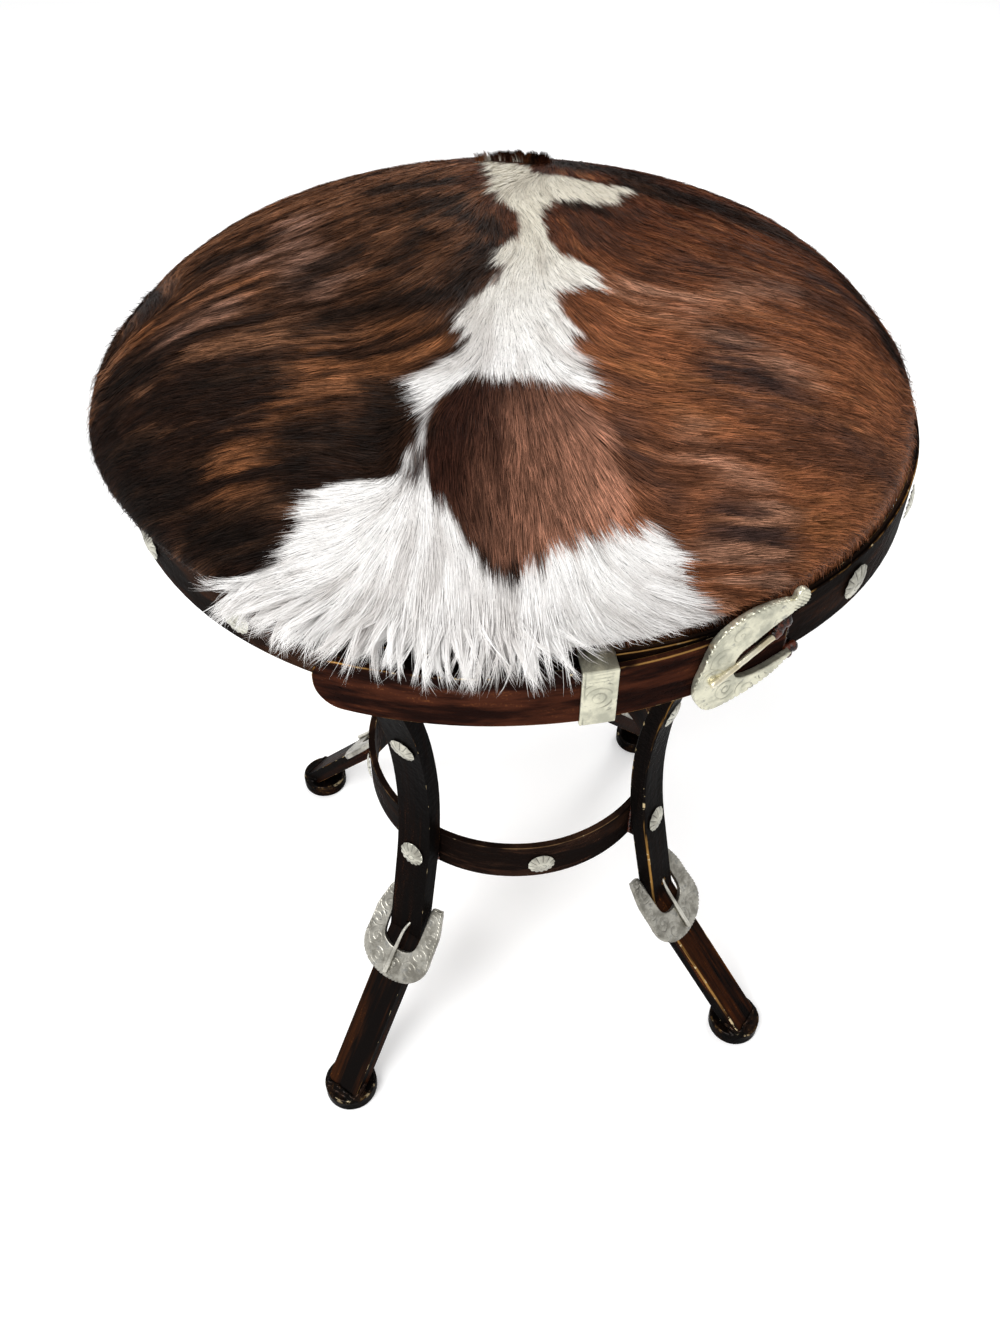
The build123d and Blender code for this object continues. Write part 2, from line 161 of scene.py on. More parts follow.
print("helpers ready")

# %% [markdown]
# ## Writing materials as sums
#
# A finish is a network of nodes, and most of it is arithmetic: a streak plus a speck, times a mask.
# One small class wraps a socket, so that such sums are written as sums. Every other node comes
# from its `node` method, settings first and sockets after.

# %% A socket that can be added and multiplied
class Wire:
    """A node socket. Sums and products of wires add Math nodes."""

    def __init__(self, tree, socket=None):
        self.tree, self.socket = tree, socket

    def node(self, kind, settings=None, sockets=None, out=0):
        made = self.tree.nodes.new(kind)
        for name, value in (settings or {}).items():
            setattr(made, name, value)
        for name, value in (sockets or {}).items():
            open_now = [s for s in made.inputs if s.enabled]
            named = {s.name: s for s in reversed(open_now)}
            socket = open_now[name] if isinstance(name, int) else named[name]
            if isinstance(value, Wire):
                self.tree.links.new(value.socket, socket)
            else:
                socket.default_value = value
        shown = [s for s in made.outputs if s.enabled]
        return Wire(self.tree, shown[out]) if shown else made

    def other(self, name):
        return Wire(self.tree, self.socket.node.outputs[name])

    def math(self, operation, *values):
        return self.node("ShaderNodeMath", {"operation": operation}, dict(enumerate(values)))

    def __add__(self, value):
        return self.math("ADD", self, value)

    def __sub__(self, value):
        return self.math("SUBTRACT", self, value)

    def __rsub__(self, value):
        return self.math("SUBTRACT", value, self)

    def __mul__(self, value):
        return self.math("MULTIPLY", self, value)

    __radd__, __rmul__ = __add__, __mul__

    def rise(self, low, high):
        """0 below low, 1 above high, smooth between."""
        return self.node(
            "ShaderNodeMapRange",
            {"interpolation_type": "SMOOTHSTEP"},
            {"Value": self, "From Min": low, "From Max": high},
        )

    def blend(self, below, above):
        """One colour where this wire is 0, the other where it is 1."""
        return self.node("ShaderNodeMix", {"data_type": "RGBA"}, {0: self, 1: paint(below), 2: paint(above)})

    def times(self, vector):
        return self.node("ShaderNodeVectorMath", {"operation": "MULTIPLY"}, {0: self, 1: vector})

    def scaled(self, factor):
        return self.node("ShaderNodeVectorMath", {"operation": "SCALE"}, {"Vector": self, "Scale": factor})

    def plus(self, vector):
        return self.node("ShaderNodeVectorMath", {"operation": "ADD"}, {0: self, 1: vector})

    def part(self, axis):
        """One part of this vector: X, Y or Z."""
        return self.node("ShaderNodeSeparateXYZ", {}, {"Vector": self}).other(axis)

    def place(self):
        """Where a point of the piece lies, in metres."""
        return self.node("ShaderNodeTexCoord").other("Object")

    def grain(self, scale, detail=3.0, rough=0.55):
        """Noise, about 0.3 to 0.7, on this vector."""
        sockets = {"Vector": self, "Scale": scale, "Detail": detail, "Roughness": rough}
        return self.node("ShaderNodeTexNoise", {}, sockets)

    def read(self, name, kind="Fac"):
        """An attribute of the mesh, by name."""
        return self.node("ShaderNodeAttribute", {"attribute_name": name}).other(kind)


def paint(shade):
    """A colour written as six hex digits, as the linear colour that the sockets take."""
    if not isinstance(shade, str):
        return shade
    parts = [int(shade[i : i + 2], 16) / 255 for i in (0, 2, 4)]
    return (*[p / 12.92 if p < 0.04045 else ((p + 0.055) / 1.055) ** 2.4 for p in parts], 1.0)


def material(name):
    """An empty finish: the wire to build it from, and its shader."""
    made = bpy.data.materials.new(name)
    made.use_nodes = True
    return made, Wire(made.node_tree), made.node_tree.nodes["Principled BSDF"]


def connect(shader, **wires):
    """Links wires, or sets numbers, on the shader's sockets, underscores standing for spaces."""
    for name, value in wires.items():
        socket = shader.inputs[name.replace("_", " ")]
        if isinstance(value, Wire):
            value.tree.links.new(value.socket, socket)
        else:
            socket.default_value = paint(value)


def relief(height, depth, inner=None):
    """A bump, its depth in metres."""
    sockets = {"Height": height, "Distance": depth, "Strength": 1.0}
    if inner:
        sockets["Normal"] = inner
    return height.node("ShaderNodeBump", {}, sockets)


print("materials are ready to be written")

# %% [markdown]
# ## Iron with a hand-rubbed patina
#
# The bars are painted almost black, rubbed back to reddish brown, and waxed to a half gloss. The
# rubbing runs along each bar, so the noise is stretched along it. Where hands and boots pass, the
# edges are worn to a dull gold. A colour alone would look like plastic, so the same streaks also
# move the roughness and raise a faint hammered bump. The inner side of the hoop gets no wax.

# %% Iron finishes
def iron_finish(
    name, black, brown, tan, along, worn_colour="b58a4e", wear=0.5, warm_below=None, warm_share=0.5,
    satin=0.3, hollow=None,
):
    """Waxed iron. It is warmer below a height, and dull nearer to the axis than the hollow."""
    made, wire, shader = material(name)
    place = wire.place()
    run = place.times(along) if along else wire.read("run", "Vector").times((1.0, 1.0, 0.07))
    cloud = run.grain(55.0, 4.0, 0.62)
    streak = run.plus((3.1, 1.7, 0.4)).grain(230.0, 5.0, 0.65)
    speck = place.grain(900.0, 2.0, 0.6)
    rub = (cloud * 0.65 + streak * 0.35).rise(0.47 + 0.1 * (0.5 - warm_share), 0.6)
    if warm_below:
        height = place.part("Z")
        low_part = 1 - height.rise(warm_below * 0.8, warm_below * 1.15)
        rub = rub * (low_part * 0.88 + 0.12)
    colour = rub.blend(black, brown)
    scratch = (streak * 0.6 + speck * 0.4).rise(0.575, 0.64) * cloud.rise(0.44, 0.6)
    if warm_below:
        scratch = scratch * (low_part * 0.8 + 0.2)
    colour = (scratch * 0.75).blend(colour, tan)
    edge = wire.read("worn") * (streak * 0.5 + cloud * 0.5).rise(0.52 - 0.12 * wear, 0.62 - 0.12 * wear)
    chip = wire.read("worn") * place.plus((0.3, 0.1, 0.7)).grain(120.0, 3.0).rise(0.6, 0.64)
    colour = (edge * 0.8).blend(colour, worn_colour)
    colour = (chip * 0.85).blend(colour, "d9c49a")
    dents = relief(cloud * 0.7 + place.grain(160.0, 2.0) * 0.5, 0.0011)
    metal = edge * 0.2 + 0.75
    rough = streak * 0.35 + satin + scratch * 0.1
    if hollow:
        across = place.times((1, 1, 0))
        reach = across.node("ShaderNodeVectorMath", {"operation": "LENGTH"}, {"Vector": across}).other("Value")
        open_side = reach.rise(hollow, hollow + 0.0012)
        metal = metal * open_side
        rough = rough * open_side + (1 - open_side)
    connect(
        shader,
        Base_Color=colour,
        Metallic=metal,
        Roughness=rough,
        Normal=relief(streak * 0.6 + speck * 0.35, 0.00018, dents),
        Specular_IOR_Level=0.05,
        Specular_Tint="3a332e",
    )
    return made


round_hoop, hoop_inside = (0.16, 0.16, 1.0), 0.2290
belt_iron = iron_finish(
    "belt iron", "1c1410", "3d2a20", "6a4632", round_hoop, wear=0.6, warm_share=0.6, hollow=hoop_inside
)
strap_iron = iron_finish("strap iron", "201310", "4a2a1e", "74472c", round_hoop, wear=0.6, warm_share=0.8)
leg_iron = iron_finish(
    "leg iron", "161312", "3f2415", "8a5426", None, wear=0.3, warm_below=0.125, warm_share=0.8, satin=0.2
)
ring_iron = iron_finish("ring iron", "1c1411", "35251d", "5c3d2c", round_hoop, "8f7250", wear=0.4)
foot_iron = iron_finish("foot iron", "141211", "261b15", "5c4328", (1, 1, 1), "7d6238", wear=0.0, satin=0.02)
print("iron finishes made")

# %% [markdown]
# ## Antiqued silver, pale brass and weld metal
#
# The buckles and rosettes are cast in a pale, slightly green silver, blackened and wiped, so the
# black stays in the cuts. The carving is real relief further down, and every carved point keeps
# how deep it lies in an attribute called `cut`, which the finish reads to lay the black in.

# %% Silver, brass and weld finishes
def silver_finish(name, bright, dull, black, grey_patch_share, rough=0.3, blackened=0.3):
    made, wire, shader = material(name)
    place = wire.place()
    cloud = place.grain(75.0, 4.0, 0.6)
    blot = place.plus((0.7, 0.2, 0.4)).grain(210.0, 4.0, 0.7)
    fine = place.grain(1300.0, 2.0, 0.6)
    colour = cloud.rise(0.36, 0.62).blend(dull, bright)
    # bluish-grey patches over the silver
    grey_patches = (blot * 0.7 + cloud * 0.3).rise(0.62 - grey_patch_share * 0.14, 0.72 - grey_patch_share * 0.1)
    colour = (grey_patches * 0.55).blend(colour, "62666a")
    cut = (wire.read("cut") + (blot - 0.5) * 0.7).rise(0.2, 0.95)
    cut = cut * (cloud.rise(0.40, 0.64) * (0.9 - blackened) + blackened)
    colour = cut.blend(colour, black)
    connect(
        shader,
        Base_Color=colour,
        Metallic=0.9 - cut * 0.6,
        Roughness=rough + blot * 0.16 + cut * 0.25,
        Normal=relief(blot * 0.6 + fine * 0.4, 0.00025, relief(cloud, 0.0008)),
    )
    return made


apron_silver = silver_finish("apron silver", "dbd8c2", "acab9a", "35342e", 0.55, 0.27, 0.3)
leg_silver = silver_finish("ankle silver", "b3b0a6", "807d74", "14120f", 0.7, 0.28, 0.25)
rosette_silver = silver_finish("rosette silver", "cfcdbf", "98958a", "141210", 0.6, 0.26, 0.85)
prong_brass = silver_finish("prong brass", "e8e2cc", "cbbf9f", "2a2018", 0.2, 0.24)
prong_steel = silver_finish("prong steel", "d4d1c6", "a3a096", "1a1815", 0.4, 0.25)

weld_metal, wire, shader = material("weld metal")
place = wire.place()
soot = place.grain(260.0, 4.0, 0.6)
connect(
    shader,
    Base_Color=soot.rise(0.42, 0.6).blend("1c0f0b", "5a2917"),
    Metallic=0.25,
    Roughness=soot * 0.3 + 0.12,
    Normal=relief(place.grain(700.0, 3.0), 0.0004),
)
print("silver, brass and weld finishes made")

# %% [markdown]
# ## Pieces from the CAD solids
#
# A CAD node arrives as loose triangles with knife edges. A copy is merged, its flats are put
# together again, and every sharp edge is rolled over with a small bevel, because real bar has no
# sharp edge and the highlight along it is what makes metal look solid. The rolled edge is noted in
# an attribute called `worn`, where the finish rubs through.

# %% Copying, rolling edges and handing over
def copy_of(node, hoop=False):
    """The shape of a CAD solid, merged. The top and bottom of a hoop stay divided into short faces."""
    bm = bmesh.new()
    bm.from_mesh(frame["nodes"][node].data)
    bmesh.ops.remove_doubles(bm, verts=bm.verts, dist=0.02 * mm)
    if hoop:
        bmesh.ops.join_triangles(
            bm, faces=bm.faces, angle_face_threshold=radians(2), angle_shape_threshold=radians(60)
        )
    else:
        bmesh.ops.dissolve_limit(bm, angle_limit=radians(0.8), verts=bm.verts, edges=bm.edges)
    return bm


def rolled_over(bm, edges, width, segments):
    return bmesh.ops.bevel(
        bm, geom=edges, offset=width, offset_type="OFFSET", segments=segments, profile=0.5,
        affect="EDGES", clamp_overlap=True, material=-1,
    )


def roll_edges(bm, width, segments=3):
    """Rolls over every edge sharper than 38 degrees, and notes it as worn."""
    keen = [e for e in bm.edges if e.is_manifold and e.calc_face_angle(0) > radians(38)]
    rolled = set(rolled_over(bm, keen, width, segments)["faces"])
    worn = bm.verts.layers.float.new("worn")
    for face in rolled:
        for vert in face.verts:
            if all(near in rolled for near in vert.link_faces):
                vert[worn] = 1.0
    return len(keen)


def hand_over(name, source, finish, slot, *nodes):
    """Makes a bmesh or a mesh a finished piece that rides with the stool and stands for its nodes."""
    mesh = mesh_from(source, name) if isinstance(source, bmesh.types.BMesh) else source
    piece = put(name, mesh)
    mesh.materials.clear()
    mesh.materials.append(finish)
    mesh.shade_smooth()
    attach(piece, "root")
    if nodes:
        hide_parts(*nodes)
    return piece


def even_shading(piece):
    """Keeps big flats flat where small bevels meet them."""
    weigh = piece.modifiers.new("even shading", "WEIGHTED_NORMAL")
    weigh.keep_sharp = True


def hammered(bm, size, depth, keep=None):
    """Moves points by a slow noise, as a hammer leaves a bar."""
    for vert in bm.verts:
        push = noise.noise_vector(vert.co / size) * depth
        if keep:
            push = keep(vert.co, push)
        vert.co += push


def bar(name, node, finish, rolled, lump=0.05, depth=0.0):
    """A copied piece of bar with its edges rolled, hammered to a depth in lumps of a size."""
    bm = copy_of(node)
    print(name, "edges rolled", roll_edges(bm, rolled))
    if depth:
        hammered(bm, lump, depth)
    even_shading(hand_over(name, bm, finish, "iron", node))


print("helpers for copied pieces ready")

# %% [markdown]
# ## The apron hoop and the strap
#
# The apron is a closed hoop, and the strap with its rounded tip is laid over its front and held by
# a flat keeper. The top edge of the real hoop shows two thin layers, so a shallow groove is cut
# into the copy's top face: the face is inset and pushed down a little.

# %% Hoop and strap
def grooved_top(bm, top, margin, depth):
    """A groove along the middle of the faces that lie on top."""
    upper = [f for f in bm.faces if f.normal.z > 0.98 and f.calc_center_median().z > top - 0.2 * mm]
    bmesh.ops.inset_region(bm, faces=upper, thickness=margin, depth=0.0, use_even_offset=True, use_boundary=True)
    for vert in {v for f in upper for v in f.verts}:
        vert.co.z -= depth


band_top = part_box("apron_band")[1].z
band = copy_of("apron_band", hoop=True)
print("hoop edges rolled", roll_edges(band, 0.7 * mm))
grooved_top(band, band_top, 1.05 * mm, 0.5 * mm)
hammered(band, 0.05, 0.25 * mm)
even_shading(hand_over("apron_hoop", band, belt_iron, "iron", "apron_band"))

bar("apron_belt_strap", "apron_strap", strap_iron, 0.8 * mm, 0.04, 0.2 * mm)

# %% [markdown]
# ## Carving
#
# The buckles are cast and then cut with running scrolls, with a roped rim. Drawing every scroll
# by hand would take days, so the carving is worked out from two numbers at each point: how far it
# lies along the middle of the horseshoe, and how far from the nearest edge. The copy is remeshed
# into fine even faces first, which also rounds the cast edges, and then its face is pressed in.

# %% Remeshing and carving
def fine_copy(bm, size):
    """The same shape in even faces, its edges a little rounded, as casting leaves them."""
    casting = even_faces("casting", bm, size)
    bm = bmesh.new()
    bm.from_mesh(casting.data)
    bpy.data.objects.remove(casting)
    smoothed(bm, 0.5)
    return bm


def along_path(path, u, v):
    """Distance along a path of points to the nearest place on it, and the signed distance from it."""
    best, travelled = None, 0.0
    for (u1, v1), (u2, v2) in zip(path, path[1:]):
        length = hypot(u2 - u1, v2 - v1)
        share = max(0.0, min(1.0, ((u - u1) * (u2 - u1) + (v - v1) * (v2 - v1)) / length**2))
        du, dv = u - u1 - share * (u2 - u1), v - v1 - share * (v2 - v1)
        away = hypot(du, dv)
        side = 1 if (u2 - u1) * dv - (v2 - v1) * du > 0 else -1
        if best is None or away < best[0]:
            best = (away, travelled + share * length, side * away)
        travelled += length
    return best[1], best[2]


def scroll(s, t, cell):
    """How deep a running scroll is cut, 0 to 1, at s along it and t across it, in millimetres."""
    number = floor(s / cell)
    hand = 1 if number % 2 else -1
    ds, dt = s - (number + 0.5) * cell, t - hand * cell * 0.12
    r, turn = hypot(ds, dt), atan2(dt * hand, ds)
    spiral = cos(2 * pi * r / (cell * 0.27) - turn)
    leaf = cos(2 * pi * (ds * 0.28 + abs(dt) * 0.22) + hand)
    fade = clipped((r - cell * 0.5) / 1.2)
    cut = (1 - fade) * max(0.0, (spiral - 0.45) / 0.55) + fade * 0.7 * max(0.0, (leaf - 0.5) / 0.5)
    return min(1.0, cut)


face_margin, edge_from, edge_to, groove_at, rope_wide = 0.9, 3.0, 1.0, 2.4, 2.0


def carve(bm, flat, face_height, path, cell, depth, knob=None, faint=0.5, outer=1):
    """Cuts scrolls into the front of a casting. flat() lays a point out as across, along, height.

    The cuts are a groove round the rim, a rope outside it and the scrolls inside it. They are faint
    at the start of the path, and a knob, if there is one, gets bars instead.
    """
    cut = bm.verts.layers.float.new("cut")
    laid = [flat(v.co) for v in bm.verts]
    whole = sum(hypot(u2 - u1, v2 - v1) for (u1, v1), (u2, v2) in zip(path, path[1:]))
    rim = [i for i, (u, v, w) in enumerate(laid) if face_height - edge_from < w < face_height - edge_to]
    tree = kdtree.KDTree(len(rim))
    for i in rim:
        tree.insert((laid[i][0], laid[i][1], 0.0), i)
    tree.balance()
    bm.normal_update()
    for vert, (u, v, w) in zip(bm.verts, laid):
        if w < face_height - face_margin:
            vert[cut] = 0.3 if w < face_height - 1.5 else 0.0
            continue
        inside = tree.find((u, v, 0.0))[2]
        s, t = along_path(path, u, v)
        groove = rope = 0.0
        if t * outer > 0:
            groove = max(0.0, 1 - abs(inside - groove_at) / 0.5)
            if inside < rope_wide:
                rope = max(0.0, cos(2 * pi * (s / 3.0 + inside * 0.2))) ** 2 * (1.3 if inside < 1.2 else 0.6)
        field = scroll(s, t, cell) * clipped((inside - 2.3) / 0.8)
        if knob and knob(u, v):
            groove, rope, field = 0.0, 0.0, 1.4 * max(0.0, cos(pi * (u * 0.75 + v)))
        worn_down = (0.8 + 0.9 * noise.noise(vert.co * 55)) * (faint + (1 - faint) * min(1.0, (s / whole) ** 3 * 1.6))
        amount = max(groove * 0.6, field) * min(1.0, max(0.05, worn_down))
        vert.co -= vert.normal * depth * max(amount, rope)
        vert[cut] = max(amount, rope * 0.35)
    smoothed(bm, 0.25)


print("carving tools ready")

# %% [markdown]
# ## The apron buckle, its prong and the keeper
#
# The horseshoe buckle is bent round the strap, so its points are laid out flat by their angle
# round the stool before the scrolls are cut. The path of the scrolls runs down the middle of the
# horseshoe, from the knob round the closed end to the lower tip.

# %% Apron buckle, prong and keeper
voxel = 0.45 * mm
strap_face = 0.2361
buckle_turn, strap_centre = radians(287.0), round_axis(0.016, 198, 0)
belt_middle = (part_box("apron_band")[0].z + band_top) / 2


def laid_on_belt(point):
    turn = turn_from(buckle_turn, point)
    # the strap leaves the hoop at its tip, so its face there is measured from the strap's own centre
    centre = strap_centre if turn < -0.05 else Vector()
    return turn * strap_face / mm, (point.z - belt_middle) / mm, ((point - centre).xy.length - strap_face) / mm


apron_path = [(24.5, 25.0), (12.0, 23.5), (-2.0, 20.0), (-14.0, 13.5), (-20.5, 4.0), (-19.5, -8.0),
              (-12.0, -17.0), (0.0, -18.5), (12.0, -15.5), (26.0, -10.5)]
buckle = fine_copy(copy_of("apron_buckle"), voxel)
for vert in buckle.verts:
    u, v, w = laid_on_belt(vert.co)
    # the knob at the upper tip is slimmer than the solid's
    slimmer = 0.28 * clipped(1 - (hypot(u - 26, v - 24) - 5) / 5) if u > 18 else 0.0
    swing = Matrix.Rotation(-(u - 25) * slimmer * mm / strap_face, 3, "Z")
    vert.co = swing @ vert.co
    vert.co.z -= (v - 23) * slimmer * mm
carve(buckle, laid_on_belt, 4.0, apron_path, 13.5, 0.5 * mm, lambda u, v: u > 20.5 and v > 19.5, 0.62, -1)
print("apron buckle faces", len(buckle.faces))
hand_over("apron_belt_buckle", buckle, apron_silver, "cast_silver", "apron_buckle")


def rod(start, end, radius, taper=1.0):
    """A round rod with rounded ends, a little uneven."""
    bm = bmesh.new()
    length = (end - start).length
    bmesh.ops.create_cone(bm, cap_ends=True, segments=20, radius1=radius, radius2=radius * taper, depth=length)
    ends = [e for e in bm.edges if abs(e.verts[0].co.z - e.verts[1].co.z) < 1e-6]
    rolled_over(bm, ends, radius * 0.6, 3)
    long_edges = [e for e in bm.edges if e.calc_length() > length * 0.5]
    bmesh.ops.subdivide_edges(bm, edges=long_edges, cuts=12, use_grid_fill=True)
    aim = (end - start).to_track_quat("Z", "Y").to_matrix().to_4x4()
    bm.transform(Matrix.Translation((start + end) / 2) @ aim)
    hammered(bm, 0.004, radius * 0.12)
    return bm


prong = rod(round_axis(0.2429, 281.5, 0.5141), round_axis(0.2378, 290.35, 0.5277), 1.85 * mm)
hand_over("apron_belt_prong", prong, prong_brass, "prong_brass", "apron_buckle_prong")

keeper_turn, keeper_radius = radians(268.4), 0.238


def laid_on_keeper(point):
    return turn_from(keeper_turn, point) * keeper_radius / mm, (point.z - belt_middle) / mm, point.xy.length / mm


keeper = fine_copy(copy_of("apron_keeper"), voxel)
cut = keeper.verts.layers.float.new("cut")
keeper_face = max(laid_on_keeper(v.co)[2] for v in keeper.verts)
keeper.normal_update()
for vert in keeper.verts:
    u, v, w = laid_on_keeper(vert.co)
    if w < keeper_face - face_margin:
        continue
    ring = 0.5 + 0.5 * cos(2 * pi * hypot(u, v) / 3.3)
    bars = max(0.0, cos(2 * pi * v / 2.2)) if abs(v) > 9.0 else 0.0
    rim = 1.0 if 6.6 < abs(u) < 7.4 else 0.0
    amount = max(rim, bars * 0.6, ring**3 if abs(v) < 9.0 and abs(u) < 6.6 else 0.0)
    amount *= min(1.0, 0.6 + 0.8 * noise.noise(vert.co * 80))
    vert.co -= vert.normal * 0.35 * mm * amount
    vert[cut] = amount
hand_over("apron_belt_keeper", keeper, apron_silver, "cast_silver", "apron_keeper")
print("apron buckle, prong and keeper made")

# %% [markdown]
# ## Rosettes
#
# Every rosette is a small cast shell: a scalloped rim, flutes that run in from it, and an oval eye
# in a ring. One is modelled as a disc of insets whose points are then lifted by a height that
# depends on their angle and distance, and copies are set on the CAD rosettes' places, found from
# the flat back of each CAD solid.

# %% One rosette
flutes, eye_drop = 13, 2.0


def rosette_height(x, y):
    """Height over the back, and depth of the cut, at a place in millimetres."""
    r, from_eye = hypot(x, y), hypot(x * 0.8, y + eye_drop)
    turn = atan2(y + eye_drop, x)
    flute = 0.5 + 0.5 * cos(flutes * turn)
    moat = max(0.0, 1 - abs(from_eye - 2.3) / 0.45)
    ring = max(0.0, 1 - abs(from_eye - 3.5) / 0.35)
    spread = clipped((from_eye - 3.8) / 1.8)
    dome = 2.4 * max(0.0, 1 - (r / 10.8) ** 2) + 1.0
    height = dome - 0.45 * moat - 0.25 * ring - spread * 0.5 * (1 - flute) ** 2
    return height, max(moat * 0.9, ring * 0.5, spread * max(0.0, 0.8 - flute * 3.2))


def rosette():
    bm = bmesh.new()
    bmesh.ops.create_circle(bm, cap_ends=True, cap_tris=False, segments=96, radius=10 * mm)
    face = next(iter(bm.faces))
    if face.normal.z < 0:
        bmesh.ops.reverse_faces(bm, faces=[face])
    outline = list(bm.edges)
    for step in (0.4, 0.7, 0.8, 0.8, 0.8, 0.8, 0.8, 0.7, 0.7, 0.7, 0.7, 0.7, 0.6):
        bmesh.ops.inset_region(bm, faces=[face], thickness=step * mm, depth=0.0, use_boundary=True)
    bmesh.ops.poke(bm, faces=[face])
    skirt = bmesh.ops.extrude_edge_only(bm, edges=outline)
    low = {v for v in skirt["geom"] if isinstance(v, bmesh.types.BMVert)}
    cut = bm.verts.layers.float.new("cut")
    for vert in bm.verts:
        r = vert.co.xy.length / mm
        height, depth = rosette_height(vert.co.x / mm, vert.co.y / mm)
        if r > 8.0:
            turn = atan2(vert.co.y + eye_drop * mm, vert.co.x)
            vert.co.xy *= 1 - 0.04 * (0.5 - 0.5 * cos(flutes * turn)) * (r - 8.0) / 2.0
        vert.co.z = 0.0 if vert in low else height * mm
        vert[cut] = 1.0 if vert in low else depth
    bmesh.ops.recalc_face_normals(bm, faces=bm.faces)
    return bm


def back_of(node):
    """Centre of a rosette's flat back and the way it faces, from the CAD solid's own points."""
    mesh = frame["nodes"][node].data
    points = np.array([v.co for v in mesh.vertices])
    middle = points.mean(0)
    spread = np.linalg.svd(points - middle, full_matrices=False)[2]
    facing = Vector(spread[2])
    if facing.dot(Vector((middle[0], middle[1], 0))) < 0:
        facing = -facing
    depth = (points - middle) @ np.array(facing)
    return Vector(middle) + facing * float(depth.min()), facing


rosettes = sorted(n for n in frame["nodes"] if "concho" in n)
for node in rosettes:
    centre, facing = back_of(node)
    across = Vector((-facing.y, facing.x, 0)).normalized()
    up = facing.cross(across)
    set_down = Matrix.Translation(centre) @ Matrix((across, up, facing)).transposed().to_4x4()
    set_down = set_down @ Matrix.Rotation(0.9 * noise.noise(centre * 37), 4, "Z")
    bm = rosette()
    bm.transform(set_down)
    hand_over(node.replace("concho", "rosette"), bm, rosette_silver, "cast_silver", node)

# %% [markdown]
# ## Weld beads
#
# The bars are welded, and the beads show as rows of small overlapping drops. One bead is a chain
# of flattened balls along a line, each a little different, which is quick and looks right because
# a real bead is laid down drop by drop. The same drops, melted together by a remesh, round the
# joint of each leg and foot.

# %% Drops of weld
def drops(bm, start, end, size, count, seed):
    """A chain of small balls, each a little off the line."""
    for drop in range(count):
        share = drop / max(1, count - 1)
        shift = noise.noise_vector(Vector((seed * 7.3, drop * 1.7, 0.5))) * size * 0.35
        swell = 1 + 0.3 * noise.noise(Vector((drop * 0.9, seed, 3.0)))
        ball = Matrix.Translation(start.lerp(end, share) + shift) @ Matrix.Diagonal((size * swell,) * 3).to_4x4()
        bmesh.ops.create_icosphere(bm, subdivisions=2, radius=1.0, matrix=ball)


def bead(name, start, end, size, count, seed):
    bm = bmesh.new()
    drops(bm, start, end, size, count, seed)
    hand_over(name, bm, weld_metal, "iron")


print("weld helpers ready")

# %% [markdown]
# ## Legs, feet and foot ring
#
# Every leg is one flat bar, bent in a long arc, with a sharp bend at the ankle, standing on a
# thick round pad. The CAD shape is right, so the copies only get rolled edges and a little
# hammered unevenness, which fades out where a leg is held by the hoop or the foot.

# %% Legs, feet and ring
leg_line = [(240.3, 14.0), (147.1, 125.5), (131.0, 204.5), (126.0, 240.0), (124.5, 269.5), (127.6, 315.0),
            (135.9, 365.0), (149.4, 410.0), (168.7, 450.0), (193.0, 482.0), (228.0, 510.0)]
foot_radius, toe_reach = 0.0205, 0.2398


def held_leg(p, push):
    """No hammer marks where a leg is held by its foot or the hoop."""
    return push * min(1.0, abs(p.z - 0.014) * 40, abs(0.507 - p.z) * 40)


def standing(p, push):
    """No hammer marks where a foot stands on the floor."""
    return push * min(1.0, p.z * 200)


places = {"front_left": 225, "front_right": 315, "back_right": 45, "back_left": 135}
for place, turn in places.items():
    leg = copy_of(f"leg_{place}")
    rolled = roll_edges(leg, 2.0 * mm, segments=4)
    hammered(leg, 0.045, 0.3 * mm, held_leg)
    outward, across = level_ways(turn)
    run = leg.verts.layers.float_vector.new("run")
    for vert in leg.verts:
        gone, beside_line = along_path(leg_line, vert.co.dot(outward) / mm, vert.co.z / mm)
        vert[run] = Vector((vert.co.dot(across), beside_line * mm, gone * mm + turn))
    even_shading(hand_over(f"bent_leg_{place}", leg, leg_iron, "iron", f"leg_{place}"))
    foot = copy_of(f"foot_{place}")
    low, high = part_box(f"foot_{place}")
    middle, top = (low + high) / 2, high.z
    toe = outward * toe_reach + Vector((0, 0, top + 0.6 * mm))
    drops(foot, toe - across * 0.0125, toe + across * 0.0125, 2.6 * mm, 9, turn)
    for hand in (-1, 1):
        corner = toe + across * (0.0140 * hand)
        drops(foot, corner, corner - outward * 0.013 + Vector((0, 0, 0.004)), 2.3 * mm, 8, turn + hand)
    foot = fine_copy(foot, 1.0 * mm)
    hammered(foot, 0.012, 0.35 * mm, standing)
    worn = foot.verts.layers.float.new("worn")
    for vert in foot.verts:
        rim = (vert.co - middle).xy.length / foot_radius
        vert.co.z = max(vert.co.z, 0.0)
        vert[worn] = 0.6 * max(0.0, 1 - abs(rim - 0.97) / 0.05) * clipped((vert.co.z - top + 0.004) / 0.002)
    hand_over(f"round_foot_{place}", foot, foot_iron, "iron", f"foot_{place}")
print("leg edges rolled", rolled)

bar("ring_for_the_feet", "foot_ring", ring_iron, 0.9 * mm, 0.05, 0.25 * mm)

# %% [markdown]
# ## Ankle buckles
#
# A horseshoe buckle wraps each ankle, its closed end below the bend. The same carving tools are
# used, and the casting is laid flat with the leg's own directions, taken from the splayed lower
# leg. The pale rod that lies across it is the prong.

